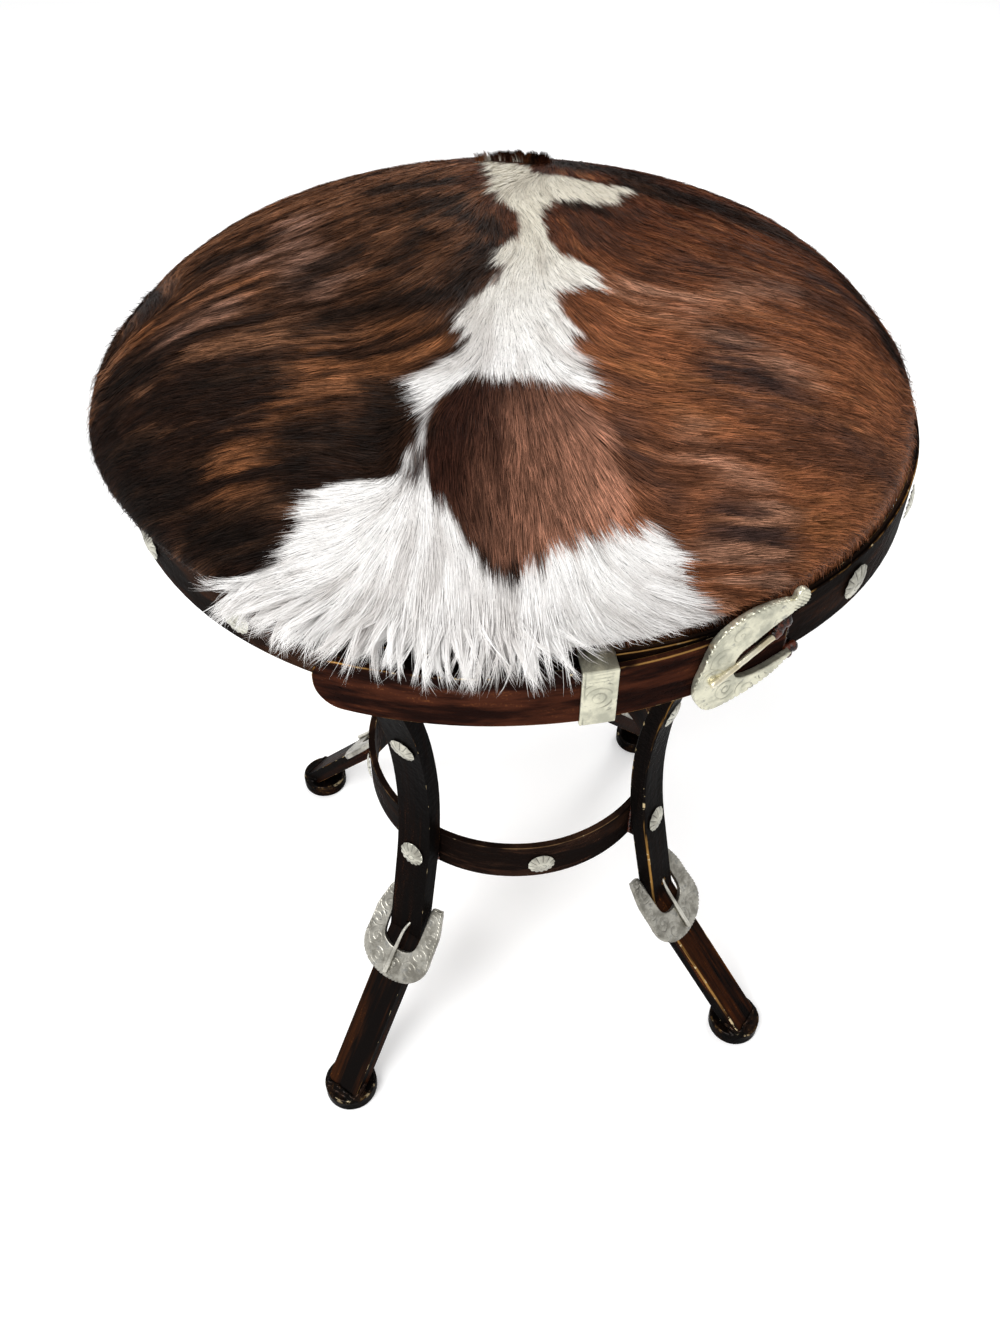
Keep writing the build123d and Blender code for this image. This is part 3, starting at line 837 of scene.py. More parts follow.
# %% Ankle buckles and prongs
lower_lean = radians(39.9)
half_path = [(19.5, 28.0), (22.5, 10.0), (22.5, -6.0), (20.0, -18.0), (12.0, -26.0), (0.0, -27.5)]
ankle_path = half_path + [(-u, v) for u, v in half_path[-2::-1]]
for place, turn in places.items():
    outward, across = level_ways(turn)
    up_leg = Vector((0, 0, 1)) * cos(lower_lean) - outward * sin(lower_lean)
    facing = outward * cos(lower_lean) + Vector((0, 0, 1)) * sin(lower_lean)
    low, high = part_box(f"leg_buckle_{place}")
    casting = fine_copy(copy_of(f"leg_buckle_{place}"), voxel * 1.35)
    heights = sorted(v.co.dot(facing) for v in casting.verts if v.co.dot(up_leg) < (low + high).dot(up_leg) / 2)
    face = heights[-len(heights) // 12]
    along = [v.co.dot(up_leg) for v in casting.verts]
    start = min(along) + 39.0 * mm

    def laid_on_ankle(p):
        return p.dot(across) / mm, (p.dot(up_leg) - start) / mm, (p.dot(facing) - face) / mm

    for vert in casting.verts:
        u, v, w = laid_on_ankle(vert.co)
        swell = 0.5 + 0.5 * cos(pi * min(1.0, abs(v - 9) / 19))
        swell *= clipped((abs(u) - 17) / 6)
        vert.co += across * (4.2 * mm * swell * (1 if u > 0 else -1))
    carve(casting, laid_on_ankle, 0.0, ankle_path, 15.0, 0.75 * mm)
    hand_over(f"ankle_buckle_{place}", casting, leg_silver, "cast_silver", f"leg_buckle_{place}")
    cad_pin = copy_of(f"leg_prong_{place}")
    told = sorted((v.co.copy() for v in cad_pin.verts), key=lambda p: p.dot(up_leg))
    lower, upper = sum(told[:8], Vector()) / 8, sum(told[-8:], Vector()) / 8
    pin = rod(lower, upper, 1.9 * mm, 0.55)
    for vert in pin.verts:
        share = (vert.co - lower).dot(upper - lower) / (upper - lower).length_squared
        hook = max(0.0, (share - 0.72) / 0.28) ** 2
        vert.co += across * (2.6 * mm * hook) - facing * (1.2 * mm * hook)
    hand_over(f"ankle_prong_{place}", pin, prong_steel, "prong_brass", f"leg_prong_{place}")
print("ankle buckles made, their prongs too")

# %% [markdown]
# The beads that show lie where the legs meet the hoop and the ring, at the strap's welded end and
# at the end of the apron prong, where two shiny drops stand proud.

# %% Beads in their places
hoop_radius, ring_radius, leg_reach, ring_reach = 0.228, 0.115, 14.0 * mm, 10.5 * mm
for place, turn in places.items():
    for hand, mark in ((-1, "a"), (1, "b")):
        side = turn + hand * np.degrees(leg_reach / hoop_radius)
        bead(f"weld_top_{place}_{mark}", round_axis(0.2272, side, 0.5075), round_axis(0.2272, side, 0.5215),
             1.7 * mm, 9, turn + hand)
        side = turn + hand * np.degrees(ring_reach / ring_radius)
        bead(f"weld_ring_{place}_{mark}", round_axis(ring_radius, side, 0.195), round_axis(0.1146, side, 0.225),
             1.5 * mm, 14, turn + 2 * hand)
for name, start, end, size, count, seed in (
    ("strap_end", (0.2328, 293.5, 0.509), (0.2328, 293.5, 0.533), 1.5, 12, 3),
    ("strap_corner", (0.2350, 293.3, 0.5062), (0.2345, 294.8, 0.5085), 3.2, 4, 5),
    ("apron_prong", (0.2372, 290.5, 0.5278), (0.2370, 292.0, 0.5330), 3.2, 5, 8),
):
    bead(f"weld_{name}", round_axis(*start), round_axis(*end), size * mm, count, seed)
print("weld beads laid")

# %% [markdown]
# ## Seat board and cross bars
#
# Under the cushion lie a plywood board and a flat iron cross, which the hoop carries. They show
# only from below, but a stool gets turned over. The board's edge shows its plies and its face a
# long grain, so both come from Object coordinates: height for the plies, stretched noise for the
# grain.

# %% Board, cross bars and screws
plywood, wire, shader = material("plywood")
place = wire.place()
height = place.part("Z")
figure = place.times((1.0, 0.07, 1.0)).grain(130.0, 5.0, 0.6)
plies = place.math("SINE", (height - 0.5286) * (2 * pi / 0.0024))
connect(
    shader,
    Base_Color=(plies * 0.12 + figure).rise(0.36, 0.66).blend("8a6238", "caa06c"),
    Roughness=figure * 0.3 + 0.5,
    Normal=relief(figure, 0.0003),
)
hand_over("plywood_board", copy_of("seat_board"), plywood, "plywood", "seat_board")
bar("cross_bars", "seat_cross", ring_iron, 0.6 * mm)

screw_steel = silver_finish("screw steel", "a9a79f", "77756e", "141210", 0.7, 0.35)
cross_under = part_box("seat_cross")[0].z
cross_turn = 22.5
for number in range(4):
    bm = bmesh.new()
    bmesh.ops.create_uvsphere(bm, u_segments=24, v_segments=12, radius=4.2 * mm)
    whole = bm.verts[:] + bm.edges[:] + bm.faces[:]
    bmesh.ops.bisect_plane(bm, geom=whole, plane_co=(0, 0, 0), plane_no=(0, 0, 1), clear_outer=True)
    cut = bm.verts.layers.float.new("cut")
    for vert in bm.verts:
        vert.co.z *= 0.5
        if vert.co.z < -1.2 * mm and min(abs(vert.co.x), abs(vert.co.y)) < 0.6 * mm:
            vert.co.z += 0.7 * mm
            vert[cut] = 1.0
    bm.transform(Matrix.Translation(round_axis(0.120, cross_turn + 90 * number, cross_under)))
    hand_over(f"screw_{number + 1}", bm, screw_steel, "iron")
print("board, cross bars and screws made")

# %% [markdown]
# Staples hold the hem of the hide under the board. Each is a flat wire with its two legs sunk in
# the wood, so only the back of it shows. They are shot in by hand: a little askew and not quite
# evenly spaced, and none where the cross bars pass.

# %% Staples under the hem
bm = bmesh.new()
staples_round, staple_size = 64, (10.0 * mm, 1.3 * mm, 0.7 * mm, 1)
for number in range(staples_round):
    jog = noise.noise_vector(Vector((number * 3.7, 0.4, 9.1)))
    turn = number * 360 / staples_round + jog.x * 1.6
    if abs((turn - cross_turn + 45) % 90 - 45) < 6:
        continue
    askew = Matrix.Rotation(radians(turn + 90 + jog.y * 40), 4, "Z")
    place = Matrix.Translation(round_axis(0.1985 + jog.z * 0.003, turn, 0.5252)) @ askew
    staple = bmesh.ops.create_cube(bm, size=1.0, matrix=place @ Matrix.Diagonal(staple_size))
    rims = dict.fromkeys(e for v in staple["verts"] for e in v.link_edges)
    rolled_over(bm, list(rims), 0.25 * mm, 1)
print("points of the staples", len(bm.verts))
hand_over("hem_staples", bm, screw_steel, "iron")

# %% [markdown]
# ## The camera
#
# The camera comes before the cushion, because the hide's white blaze is placed through it: points of
# its outline were read off an enlargement of the photograph, and each is sent from the camera onto
# the cushion. They are then points on the hide, and look right from any side.

# %% Camera
lens = bpy.data.cameras.new("camera")
lens.lens, lens.sensor_width, lens.sensor_fit = 30.76, 36.0, "AUTO"
camera = put("camera", lens)
right, above, ahead = (Vector(v) for v in (
    (0.98509, -0.17201, -0.00052), (0.12266, 0.70032, 0.70321), (0.12060, 0.69279, -0.71098)
))
turned_to = Matrix((right, above, -ahead)).transposed().to_4x4()
camera.matrix_world = Matrix.Translation((-0.11228, -0.58370, 0.90115)) @ turned_to
scene.camera = camera


enlarged, focal = 1.867, 1135.61


def sight(across, down):
    """The direction from the camera through a place on the enlargement of the seat."""
    x, y = (90 + across / enlarged - 500) / focal, (664.5 - 150 - down / enlarged) / focal
    return (ahead + right * x + above * y).normalized()


print("camera at", [round(v, 3) for v in camera.matrix_world.translation])

# %% [markdown]
# ## The cushion
#
# The hide is pulled over foam and a round board and stapled underneath. Its section is a few
# points, spun round the axis: hem, side, widest part just over the apron, and a crown that is
# flattest in the middle. Padding looks padded when it is blown up like padding, so the section
# starts a little small, is remeshed, and the cloth solver presses it outward for twenty steps
# with the board's part pinned; half of that push, at most 2.5 mm, is kept. Afterwards the cushion
# is pushed a little to the front and left, over the apron, as it sits in the photograph, and pressed
# back behind the buckle. Below, it fills the corner inside the hoop, and its hem is open, since the
# cover ends in a fold under the board.

# %% Cushion section and cloth
board_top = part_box("seat_board")[1].z
widest, widest_height, crown = 0.2300, 0.5530, 0.0752
hem_radius, hem_height = 0.1783, 0.5256
push_left, push_front, push_from, push_over = 0.0089, 0.0093, 0.537, 0.016


def crown_height(r):
    return widest_height + crown * (1 - (r / widest) ** 2.71) ** (1 / 1.62)


section = [(hem_radius, hem_height), (0.2150, hem_height), (0.2208, 0.5275), (0.2221, 0.5330), (0.2228, 0.5375),
           (0.2262, 0.5420), (0.2290, 0.5470), (widest, widest_height)]
for share in (0.995, 0.98, 0.95, 0.9, 0.82, 0.7, 0.55, 0.35, 0.15, 0):
    section.append((widest * share, crown_height(widest * share)))
bm = bmesh.new()
line = [bm.verts.new((r, 0, z)) for r, z in [(0.0, hem_height)] + section]
edges = [bm.edges.new(pair) for pair in zip(line, line[1:])]
bmesh.ops.spin(bm, geom=line + edges, cent=(0, 0, 0), axis=(0, 0, 1), angle=2 * pi, steps=120, use_merge=True)
bmesh.ops.remove_doubles(bm, verts=bm.verts, dist=0.1 * mm)
bmesh.ops.recalc_face_normals(bm, faces=bm.faces)
pad = even_faces("pad", bm, 5 * mm)
pinned = pad.vertex_groups.new(name="board")
pinned.add([v.index for v in pad.data.vertices if v.co.z < board_top], 1.0, "REPLACE")
before = np.array([v.co for v in pad.data.vertices])
cloth = pad.modifiers.new("padding", "CLOTH")
cloth.settings.vertex_group_mass = "board"
cloth.settings.use_pressure = True
cloth.settings.uniform_pressure_force = 4.0
cloth.settings.quality = 6
cloth.settings.effector_weights.gravity = 0.0
for step in range(1, 21):
    scene.frame_set(step)
blown = np.array([v.co for v in taken(pad).vertices])
scene.frame_set(1)
move = blown - before
far = np.linalg.norm(move, axis=1, keepdims=True)
cap = 5 * mm
move = move * np.minimum(1.0, cap / np.maximum(far, 1e-9)) * 0.5
pad.modifiers.clear()
pad.data.vertices.foreach_set("co", (before + move).ravel())
kept = np.linalg.norm(move, axis=1).max()
print("cloth moved up to", round(float(far.max()) * 1000, 1), "mm, kept", round(float(kept) * 1000, 1))

smoother = pad.modifiers.new("finer", "SUBSURF")
smoother.levels = smoother.render_levels = 1
skin = taken(pad)
bpy.data.objects.remove(pad)

bm = bmesh.new()
bm.from_mesh(skin)
hem_hole = [
    f for f in bm.faces if f.calc_center_median().xy.length < hem_radius and f.calc_center_median().z < board_top
]
bmesh.ops.delete(bm, geom=hem_hole, context="FACES")
hoop_fill, buckle_limit = 0.2268, 0.2348
for vert in bm.verts:
    p = vert.co
    if vert.is_boundary:
        p.xy *= (0.1765 + 0.0025 * noise.noise(p * 25)) / p.xy.length
    # over the hoop the cushion sits a little to the front and left, and is uneven
    lift = clipped((p.z - push_from) / push_over)
    p.x -= push_left * lift * lift * (3 - 2 * lift)
    p.y -= push_front * lift * lift * (3 - 2 * lift)
    dip = noise.noise(Vector((p.x * 14, p.y * 14, p.z * 5))) * 1.2 * mm
    p += Vector((p.x, p.y, 0)).normalized() * dip * lift * (0.6 if p.z < 0.575 else 0.2)
    # fuller at the left and at the right
    turn = np.degrees(atan2(p.y, p.x)) % 360
    fuller = max(0.0, 1 - abs(turn - 192) / 38) ** 0.7 * 0.0052 + max(0.0, 1 - abs(turn - 25) / 30) * 0.003
    p.xy *= 1 + fuller * lift * clipped((0.605 - p.z) / 0.035) / max(0.05, p.xy.length)
    # pressed back behind the buckle
    beside = max(0.0, 1 - abs(turn - 287) / 17)
    held = min(1.0, beside * 2.5) * clipped((0.562 - p.z) / 0.008)
    reach = p.xy.length
    if held > 0 and reach > buckle_limit:
        p.xy *= 1 - held * (1 - buckle_limit / reach)
    # below, it fills the corner inside the hoop, and the hem lies in small pleats
    shoulder = clipped((p.z - 0.528) / 0.004) * clipped((0.5475 - p.z) / 0.006)
    if reach < hoop_fill:
        p.xy *= 1 + shoulder * (hoop_fill / reach - 1)
    if p.z < 0.529 and reach < 0.216:
        pleat = sin(radians(turn) * 46 + 2 * noise.noise(p * 30))
        p.z += 0.7 * mm * pleat * min(1.0, (0.216 - reach) / 0.012)
bm.to_mesh(skin)
bm.free()
print("skin faces", len(skin.polygons))

# %% [markdown]
# ## Laying out the hide
#
# A hide is flat before it is pulled over a seat, so everything about its coat is worked out on a
# flat layout: a point's distance from the crown along the surface, and its angle. On this layout
# the coat has a blaze of white down the middle that forks round a brown tongue, and brindled
# sides. Patches are outlines or strokes read off the enlargement, and every point of the
# skin keeps how deep it lies inside each, in metres.

# %% Flat layout of the hide
points = np.array([v.co for v in skin.vertices])
crown_spot = np.array([-push_left, -push_front])
offset = points[:, :2] - crown_spot * np.clip((points[:, 2:3] - push_from) / push_over, 0, 1)
radius, angle = np.hypot(*offset.T), np.arctan2(offset[:, 1], offset[:, 0])
steps = section[::-1]
pieces_long = [hypot(r2 - r1, z2 - z1) for (r1, z1), (r2, z2) in zip(steps, steps[1:])]
lengths = np.concatenate([[0.0], np.cumsum(pieces_long)])
turned = [i for i, (r, z) in enumerate(steps) if r == widest][0]
fold_radius = 0.2165


def top_length(reach):
    """Distance from the crown along the top of the section, at a distance from the axis."""
    return np.interp(reach, [r for r, z in steps[: turned + 1]], lengths[: turned + 1])


def side_length(height):
    """Distance from the crown along the section, at a height below the widest part."""
    return np.interp(-height, [-z for r, z in steps[turned:]], lengths[turned:])


falling = side_length(points[:, 2])
under = np.clip(lengths[-1] - (radius - hem_radius), falling.min(), None)
below = np.where(radius < fold_radius, under, falling)
spread = np.where(points[:, 2] > widest_height, top_length(radius), below)
flat = np.stack([np.cos(angle), np.sin(angle)], 1) * spread[:, None]
print("hide reaches", round(float(spread.max()), 3), "m from the crown")

surface = BVHTree.FromPolygons([v.co for v in skin.vertices], [tuple(p.vertices) for p in skin.polygons])
heart = Vector((0.0, 0.0, 0.61))


def on_hide(across, down):
    """A place on the enlargement, as a point of the flat layout."""
    eye, way = camera.matrix_world.translation, sight(across, down)
    for _ in range(40):
        spot = surface.ray_cast(eye, way)[0]
        if spot:
            break
        way = way.lerp((heart - eye).normalized(), 0.02).normalized()
    x, y = spot.x - crown_spot[0], spot.y - crown_spot[1]
    far = float(side_length(spot.z) if spot.z < widest_height else top_length(hypot(x, y)))
    return far * x / hypot(x, y), far * y / hypot(x, y)


def from_line(x1, y1, x2, y2):
    """How far every point of the skin lies, on the layout, from the line between two places."""
    x, y = flat.T
    along = ((x - x1) * (x2 - x1) + (y - y1) * (y2 - y1)) / max(1e-9, (x2 - x1) ** 2 + (y2 - y1) ** 2)
    share = np.clip(along, 0, 1)
    return np.hypot(x - x1 - share * (x2 - x1), y - y1 - share * (y2 - y1))


def depth_inside(outline):
    """Signed distance of every point of the skin from an outline on the layout, positive inside."""
    x, y = flat.T
    nearest = np.full(len(x), 9.0)
    inside = np.zeros(len(x), bool)
    for (x1, y1), (x2, y2) in zip(outline, outline[1:] + outline[:1]):
        nearest = np.minimum(nearest, from_line(x1, y1, x2, y2))
        crosses = (y1 > y) != (y2 > y)
        inside ^= crosses & (x < (x2 - x1) * (y - y1) / ((y2 - y1) or 1e-9) + x1)
    return np.where(inside, nearest, -nearest)


def strokes(*marks):
    """How deep every point lies in the nearest of some strokes: from, to and half width in millimetres."""
    best = np.full(len(flat), -9.0)
    for (a, b, c, d, half) in marks:
        best = np.maximum(best, half * mm - from_line(*on_hide(a, b), *on_hide(c, d)))
    return best


def note(name, values):
    """Writes numbers on the skin's points under a name."""
    kind = "FLOAT" if values.ndim == 1 else "FLOAT_VECTOR"
    layer = skin.attributes.new(name, kind, "POINT")
    layer.data.foreach_set("value" if kind == "FLOAT" else "vector", values.astype(np.float32).ravel())


# %% Patches of the coat
spine_left = [
    (740, 20), (763, 60), (757, 90), (788, 110), (790, 150), (764, 180), (770, 215), (757, 240), (710, 262),
    (678, 300), (702, 340), (690, 365), (652, 398), (608, 422), (640, 462), (620, 508), (580, 556),
]
front_left = [
    (600, 590), (520, 610), (440, 640), (408, 680), (404, 720), (350, 770), (245, 830),
]
front_top = [
    (1200, 880), (1110, 830), (1090, 755), (1030, 690), (930, 702), (860, 738), (770, 774), (694, 706), (650, 640),
    (612, 585),
]
tongue_left = [(616, 545), (645, 482), (662, 456), (692, 422), (762, 408)]
wing = [
    (842, 418), (892, 440), (962, 478), (925, 432), (930, 400), (885, 360), (915, 330), (868, 290), (868, 255),
    (940, 250), (930, 215), (870, 180), (840, 130), (850, 100), (880, 85), (960, 100), (1000, 70), (920, 55),
    (850, 40), (800, 25),
]
ends = [on_hide(*front_left[-1]), on_hide(*front_top[0])]
turns = np.linspace(*[atan2(y, x) % (2 * pi) for x, y in ends], 14)
beyond = 0.40
rim = [(beyond * cos(t), beyond * sin(t)) for t in turns]
blaze = [on_hide(*p) for p in spine_left + front_left] + rim + [on_hide(*p) for p in front_top + tongue_left + wing]
tongue = [on_hide(*p) for p in [
    (762, 408), (692, 422), (662, 456), (645, 482), (616, 545), (590, 585), (650, 640), (694, 706), (770, 774),
    (860, 738), (930, 702), (1000, 680), (990, 600), (960, 530), (930, 470), (892, 440), (842, 418),
]]
# below this height the white is left out: painted shade on the side of the cushion, over the hoop
painted_shade_height = 0.5490
note("white", np.minimum(depth_inside(blaze), points[:, 2] - painted_shade_height))
note("tongue", depth_inside(tongue))
note("dark", strokes(
    (650, 88, 560, 110, 9), (745, 190, 700, 245, 11), (690, 255, 560, 285, 9), (560, 285, 470, 300, 7),
    (330, 425, 220, 440, 6), (410, 530, 420, 590, 9), (590, 460, 540, 560, 8), (120, 560, 60, 570, 6),
    (700, 55, 560, 70, 6), (130, 400, 60, 430, 7), (200, 620, 110, 650, 8), (860, 22, 1020, 46, 13),
    (1020, 60, 1240, 135, 14), (1240, 135, 1420, 245, 9), (1420, 250, 1530, 400, 9), (880, 92, 965, 112, 5),
    (340, 170, 250, 200, 7), (230, 700, 330, 740, 9), (500, 180, 420, 250, 6), (760, 8, 840, 12, 8),
    (640, 150, 590, 200, 6), (690, 110, 775, 150, 2), (60, 480, 50, 580, 6), (80, 620, 130, 720, 8),
    (470, 500, 480, 560, 4),
))
note("grey", strokes(
    (1330, 230, 1500, 380, 11), (1180, 390, 1300, 480, 14), (970, 520, 1060, 640, 12), (1160, 680, 1250, 730, 13),
    (1390, 540, 1470, 610, 11), (1180, 350, 1140, 430, 9), (1320, 500, 1400, 600, 8), (1090, 200, 1180, 240, 5),
    (1200, 450, 1320, 490, 13), (1240, 250, 1380, 290, 8),
))
note("orange", strokes(
    (600, 320, 660, 350, 9), (450, 400, 570, 390, 8), (300, 590, 260, 620, 9), (350, 560, 290, 560, 7),
    (1460, 640, 1200, 790, 15), (1000, 400, 1110, 500, 12), (900, 130, 1010, 200, 5), (230, 300, 120, 330, 7),
    (480, 470, 380, 480, 6), (1250, 560, 1330, 680, 8), (600, 390, 540, 410, 8), (330, 240, 200, 290, 5),
))
# pinkish-grey strokes: a sheen of light on the hair, painted into its colour
note("pink_painted_sheen", strokes(
    (400, 130, 450, 260, 12), (300, 200, 400, 190, 9), (1100, 560, 1220, 640, 12), (1160, 780, 1260, 800, 8),
    (1280, 400, 1180, 350, 9), (1170, 600, 1100, 570, 10), (1290, 260, 1180, 250, 8), (180, 330, 260, 290, 7),
    (1000, 250, 1100, 290, 7),
))
home = on_hide(790, 340)
note("right", flat[:, 0] - home[0])
# painted shade: the coat is darkened below the widest part of the cushion, where its side turns under over the hoop
note("painted_shade_below", np.clip((0.5500 - points[:, 2]) / 0.010, 0, 1))
note("warmth", 10.7 * (flat[:, 0] - home[0]) + 5.6 * (home[1] - flat[:, 1]) - 0.05)
print("patches noted on the skin")

# %% [markdown]
# ## Which way the hair lies
#
# The hair runs outward from the blaze, almost level across both sides of the seat, and turns down
# over the front, where it meets in a ridge and fans out. Like the patches, the lie was read off
# the enlargement: some eighty strokes of a comb, each a place and a direction. Every point of the
# hide takes a mean of the strokes, the nearest counting most. Round the edge, and behind, where the
# photograph shows nothing, the hair lies outward and down.

# %% Combing
combing = [
    # left side
    (116, 358, -84, 54), (259, 348, -98, 18), (438, 348, -99, 6), (45, 491, -70, 70), (224, 437, -98, 16),
    (545, 455, -99, -14), (506, 579, -97, -22), (152, 562, -96, 26), (188, 634, -94, 34), (80, 276, -80, 60),
    (330, 241, -95, 32), (474, 291, -95, 32), (632, 162, -92, 40), (722, 217, -80, 60), (560, 90, -94, 34),
    (400, 120, -92, 40), (690, 60, -90, 30), (250, 190, -88, 48), (420, 668, -99, 4), (300, 754, -95, 28),
    (120, 690, -90, 42), (330, 520, -98, 14), (640, 400, -92, 30), (620, 340, -88, 46),
    # blaze and tongue
    (812, 150, 10, 99), (780, 250, -15, 98), (700, 320, -55, 83), (850, 320, 60, 80), (770, 420, 0, 100),
    (760, 520, 3, 99), (640, 560, 22, 97), (900, 560, 34, 94), (690, 680, 30, 95), (800, 700, -4, 99),
    (940, 660, 30, 95),
    # right side
    (858, 131, 62, 78), (926, 253, 86, 50), (971, 94, 82, 57), (1084, 162, 94, 32), (1130, 253, 98, 16),
    (1197, 131, 90, 42), (1306, 339, 97, 25), (1463, 418, 80, 60), (1070, 312, 99, 10), (1070, 457, 99, 6),
    (1266, 476, 98, 14), (1424, 500, 91, 40), (1148, 555, 99, 5), (1306, 594, 99, 9), (1463, 653, 90, 44),
    (1109, 653, 99, 0), (1306, 712, 99, 10), (1149, 771, 99, 8), (1522, 536, 60, 80), (960, 400, 94, 30),
    (1000, 520, 95, 28), (1380, 230, 86, 50), (1250, 820, 97, 22),
    # white front and the ridge
    (325, 812, -90, 44), (400, 820, -86, 50), (470, 740, -92, 40), (450, 850, -72, 69), (520, 850, -55, 84),
    (560, 780, -30, 95), (620, 820, -10, 99), (700, 840, 2, 99), (818, 840, 0, 99), (900, 800, 20, 97),
    (520, 905, -70, 70), (600, 915, -35, 93), (700, 920, -8, 99), (800, 920, 8, 99), (880, 910, 35, 93),
    (960, 895, 80, 60), (1020, 800, 80, 60), (1060, 880, 95, 30), (1150, 855, 97, 22),
]


def unit(rows):
    """Rows of numbers as directions, each of length 1."""
    return rows / np.maximum(np.linalg.norm(rows, axis=1, keepdims=True), 1e-6)


places_combed = np.array([on_hide(x, y) for x, y, _, _ in combing])
ways_combed = unit(np.array([
    np.subtract(on_hide(x + a / 12, y + b / 12), on_hide(x - a / 12, y - b / 12)) for x, y, a, b in combing
]))


def combed(spots):
    """Which way the hair lies at places on the layout."""
    softness = 0.016
    near = ((spots[:, None, :] - places_combed[None]) ** 2).sum(2) + softness**2
    weight = near**-2.0
    way = weight @ ways_combed / weight.sum(1, keepdims=True)
    reach = np.linalg.norm(spots, axis=1, keepdims=True)
    outward = unit(spots)
    behind = np.clip((spots[:, 1:] - 0.10) / 0.10, 0, 1) * np.clip((reach - 0.15) / 0.08, 0, 1)
    turned_down = np.clip((reach - 0.238) / 0.03, 0, 1) * 0.8
    share = np.maximum(behind * 0.7, turned_down)
    way = way * (1 - share) + outward * share
    return unit(way)


# %% [markdown]
# Brindle is drawn out along the hair. So a spotty noise is smeared that way: each point of the hide
# walks a few steps up and down its own hair line and takes the mean of the spots that it meets.

# %% Brindle and streaks
walk = 14
tracks = [flat]
for hand in (-1, 1):
    spot = flat
    for step in range(walk):
        spot = spot + combed(spot) * hand * 3.2 * mm
        tracks.append(spot)


def drawn_out(cell, steps, seed):
    """Spots a cell across, drawn out along the hair: 0.5 in the mean, 0 to 1."""
    size = 256
    lots = np.random.default_rng(seed).random((size, size))
    total = np.zeros(len(flat))
    for place in [flat] + tracks[1 : 1 + steps] + tracks[1 + walk : 1 + walk + steps]:
        spot = place / cell + size / 2
        at, part_way = np.floor(spot).astype(int), spot - np.floor(spot)
        (i, j), (a, b) = at.T % size, (part_way * part_way * (3 - 2 * part_way)).T
        for row, share in ((j, 1 - b), ((j + 1) % size, b)):
            total += (lots[i, row] * (1 - a) + lots[(i + 1) % size, row] * a) * share
    return np.clip((total - total.mean()) / total.std() * 0.22 + 0.5, 0, 1)


note("brindle", 0.6 * drawn_out(11 * mm, walk, 4) + 0.4 * drawn_out(24 * mm, 9, 5))
note("streak", drawn_out(3.6 * mm, 6, 6))
print("brindle drawn out along", len(tracks), "steps")

# %% [markdown]
# The direction is carried from the layout to the surface: outward on the layout is down the side of
# the seat. Locks of hair turn a little this way and that.

# %% Lie and length of the hair
flow = combed(flat)
outward = unit(flat)
sway = np.array([noise.noise(Vector((*p, 0)) * 22) * 0.16 + noise.noise(Vector((*p, 5)) * 100) * 0.16 for p in flat])
(x, y), swing, still = flow.T, np.sin(sway), np.cos(sway)
flow = np.stack([x * still - y * swing, x * swing + y * still], 1)

normals = np.array([v.normal for v in skin.vertices])
round_way = np.stack([-np.sin(angle), np.cos(angle), np.zeros(len(angle))], 1)
down_way = unit(np.cross(round_way, normals))
radial_part = (flow * outward).sum(1)
round_part = flow[:, 1] * outward[:, 0] - flow[:, 0] * outward[:, 1]
note("lie", down_way * radial_part[:, None] + round_way * round_part[:, None])
white = np.array([v.value for v in skin.attributes["white"].data])
long_front = np.clip(white / 0.02, 0, 1) * np.clip((on_hide(775, 340)[1] - 0.07 - flat[:, 1]) / 0.08, 0, 1)
length = 13 + 9 * long_front - 7 * np.clip((spread - 0.262) / 0.02, 0, 1)
note("length", length * mm)
outward_share = int((radial_part > 0).mean() * 100)
print("hair", round(length.min()), "to", round(length.max()), "mm long, outward on", outward_share, "% of the skin")
fluff = np.interp(points[:, 2], [0.529, 0.540, 0.552], [0.25, 0.4, 1.0])
note("fluff", np.where(radius < fold_radius, 0.3, fluff))
note("flat", np.stack([*flat.T, np.zeros(len(flat))], 1))
turn_degrees = np.degrees(angle) % 360
reach_edge = float(lengths[turned])
hangs = np.interp(turn_degrees, [206, 216, 262, 267], [0, 1, 1, 0])
hangs *= np.interp(spread, [reach_edge + past for past in (-0.017, -0.010, 0.001, 0.004)], [0, 1, 1, 0])
note("fringe", hangs * np.clip(white / 0.004, 0, 1))
tuft = strokes((745, 22, 775, 20, 6), (775, 20, 838, 24, 6))
note("tuft", np.clip((tuft + 0.002) / 0.006, 0, 1) * np.clip(-white / 0.0015, 0, 1))
middles = np.array([p.center for p in skin.polygons])
middles_turn = np.degrees(np.arctan2(middles[:, 1] - crown_spot[1], middles[:, 0] - crown_spot[0])) % 360
slice_degrees = 45
part = skin.attributes.new("part", "INT", "FACE")
part.data.foreach_set("value", (middles_turn // slice_degrees).astype(np.int32))
print("widest part lies", round(reach_edge, 3), "m from the crown")
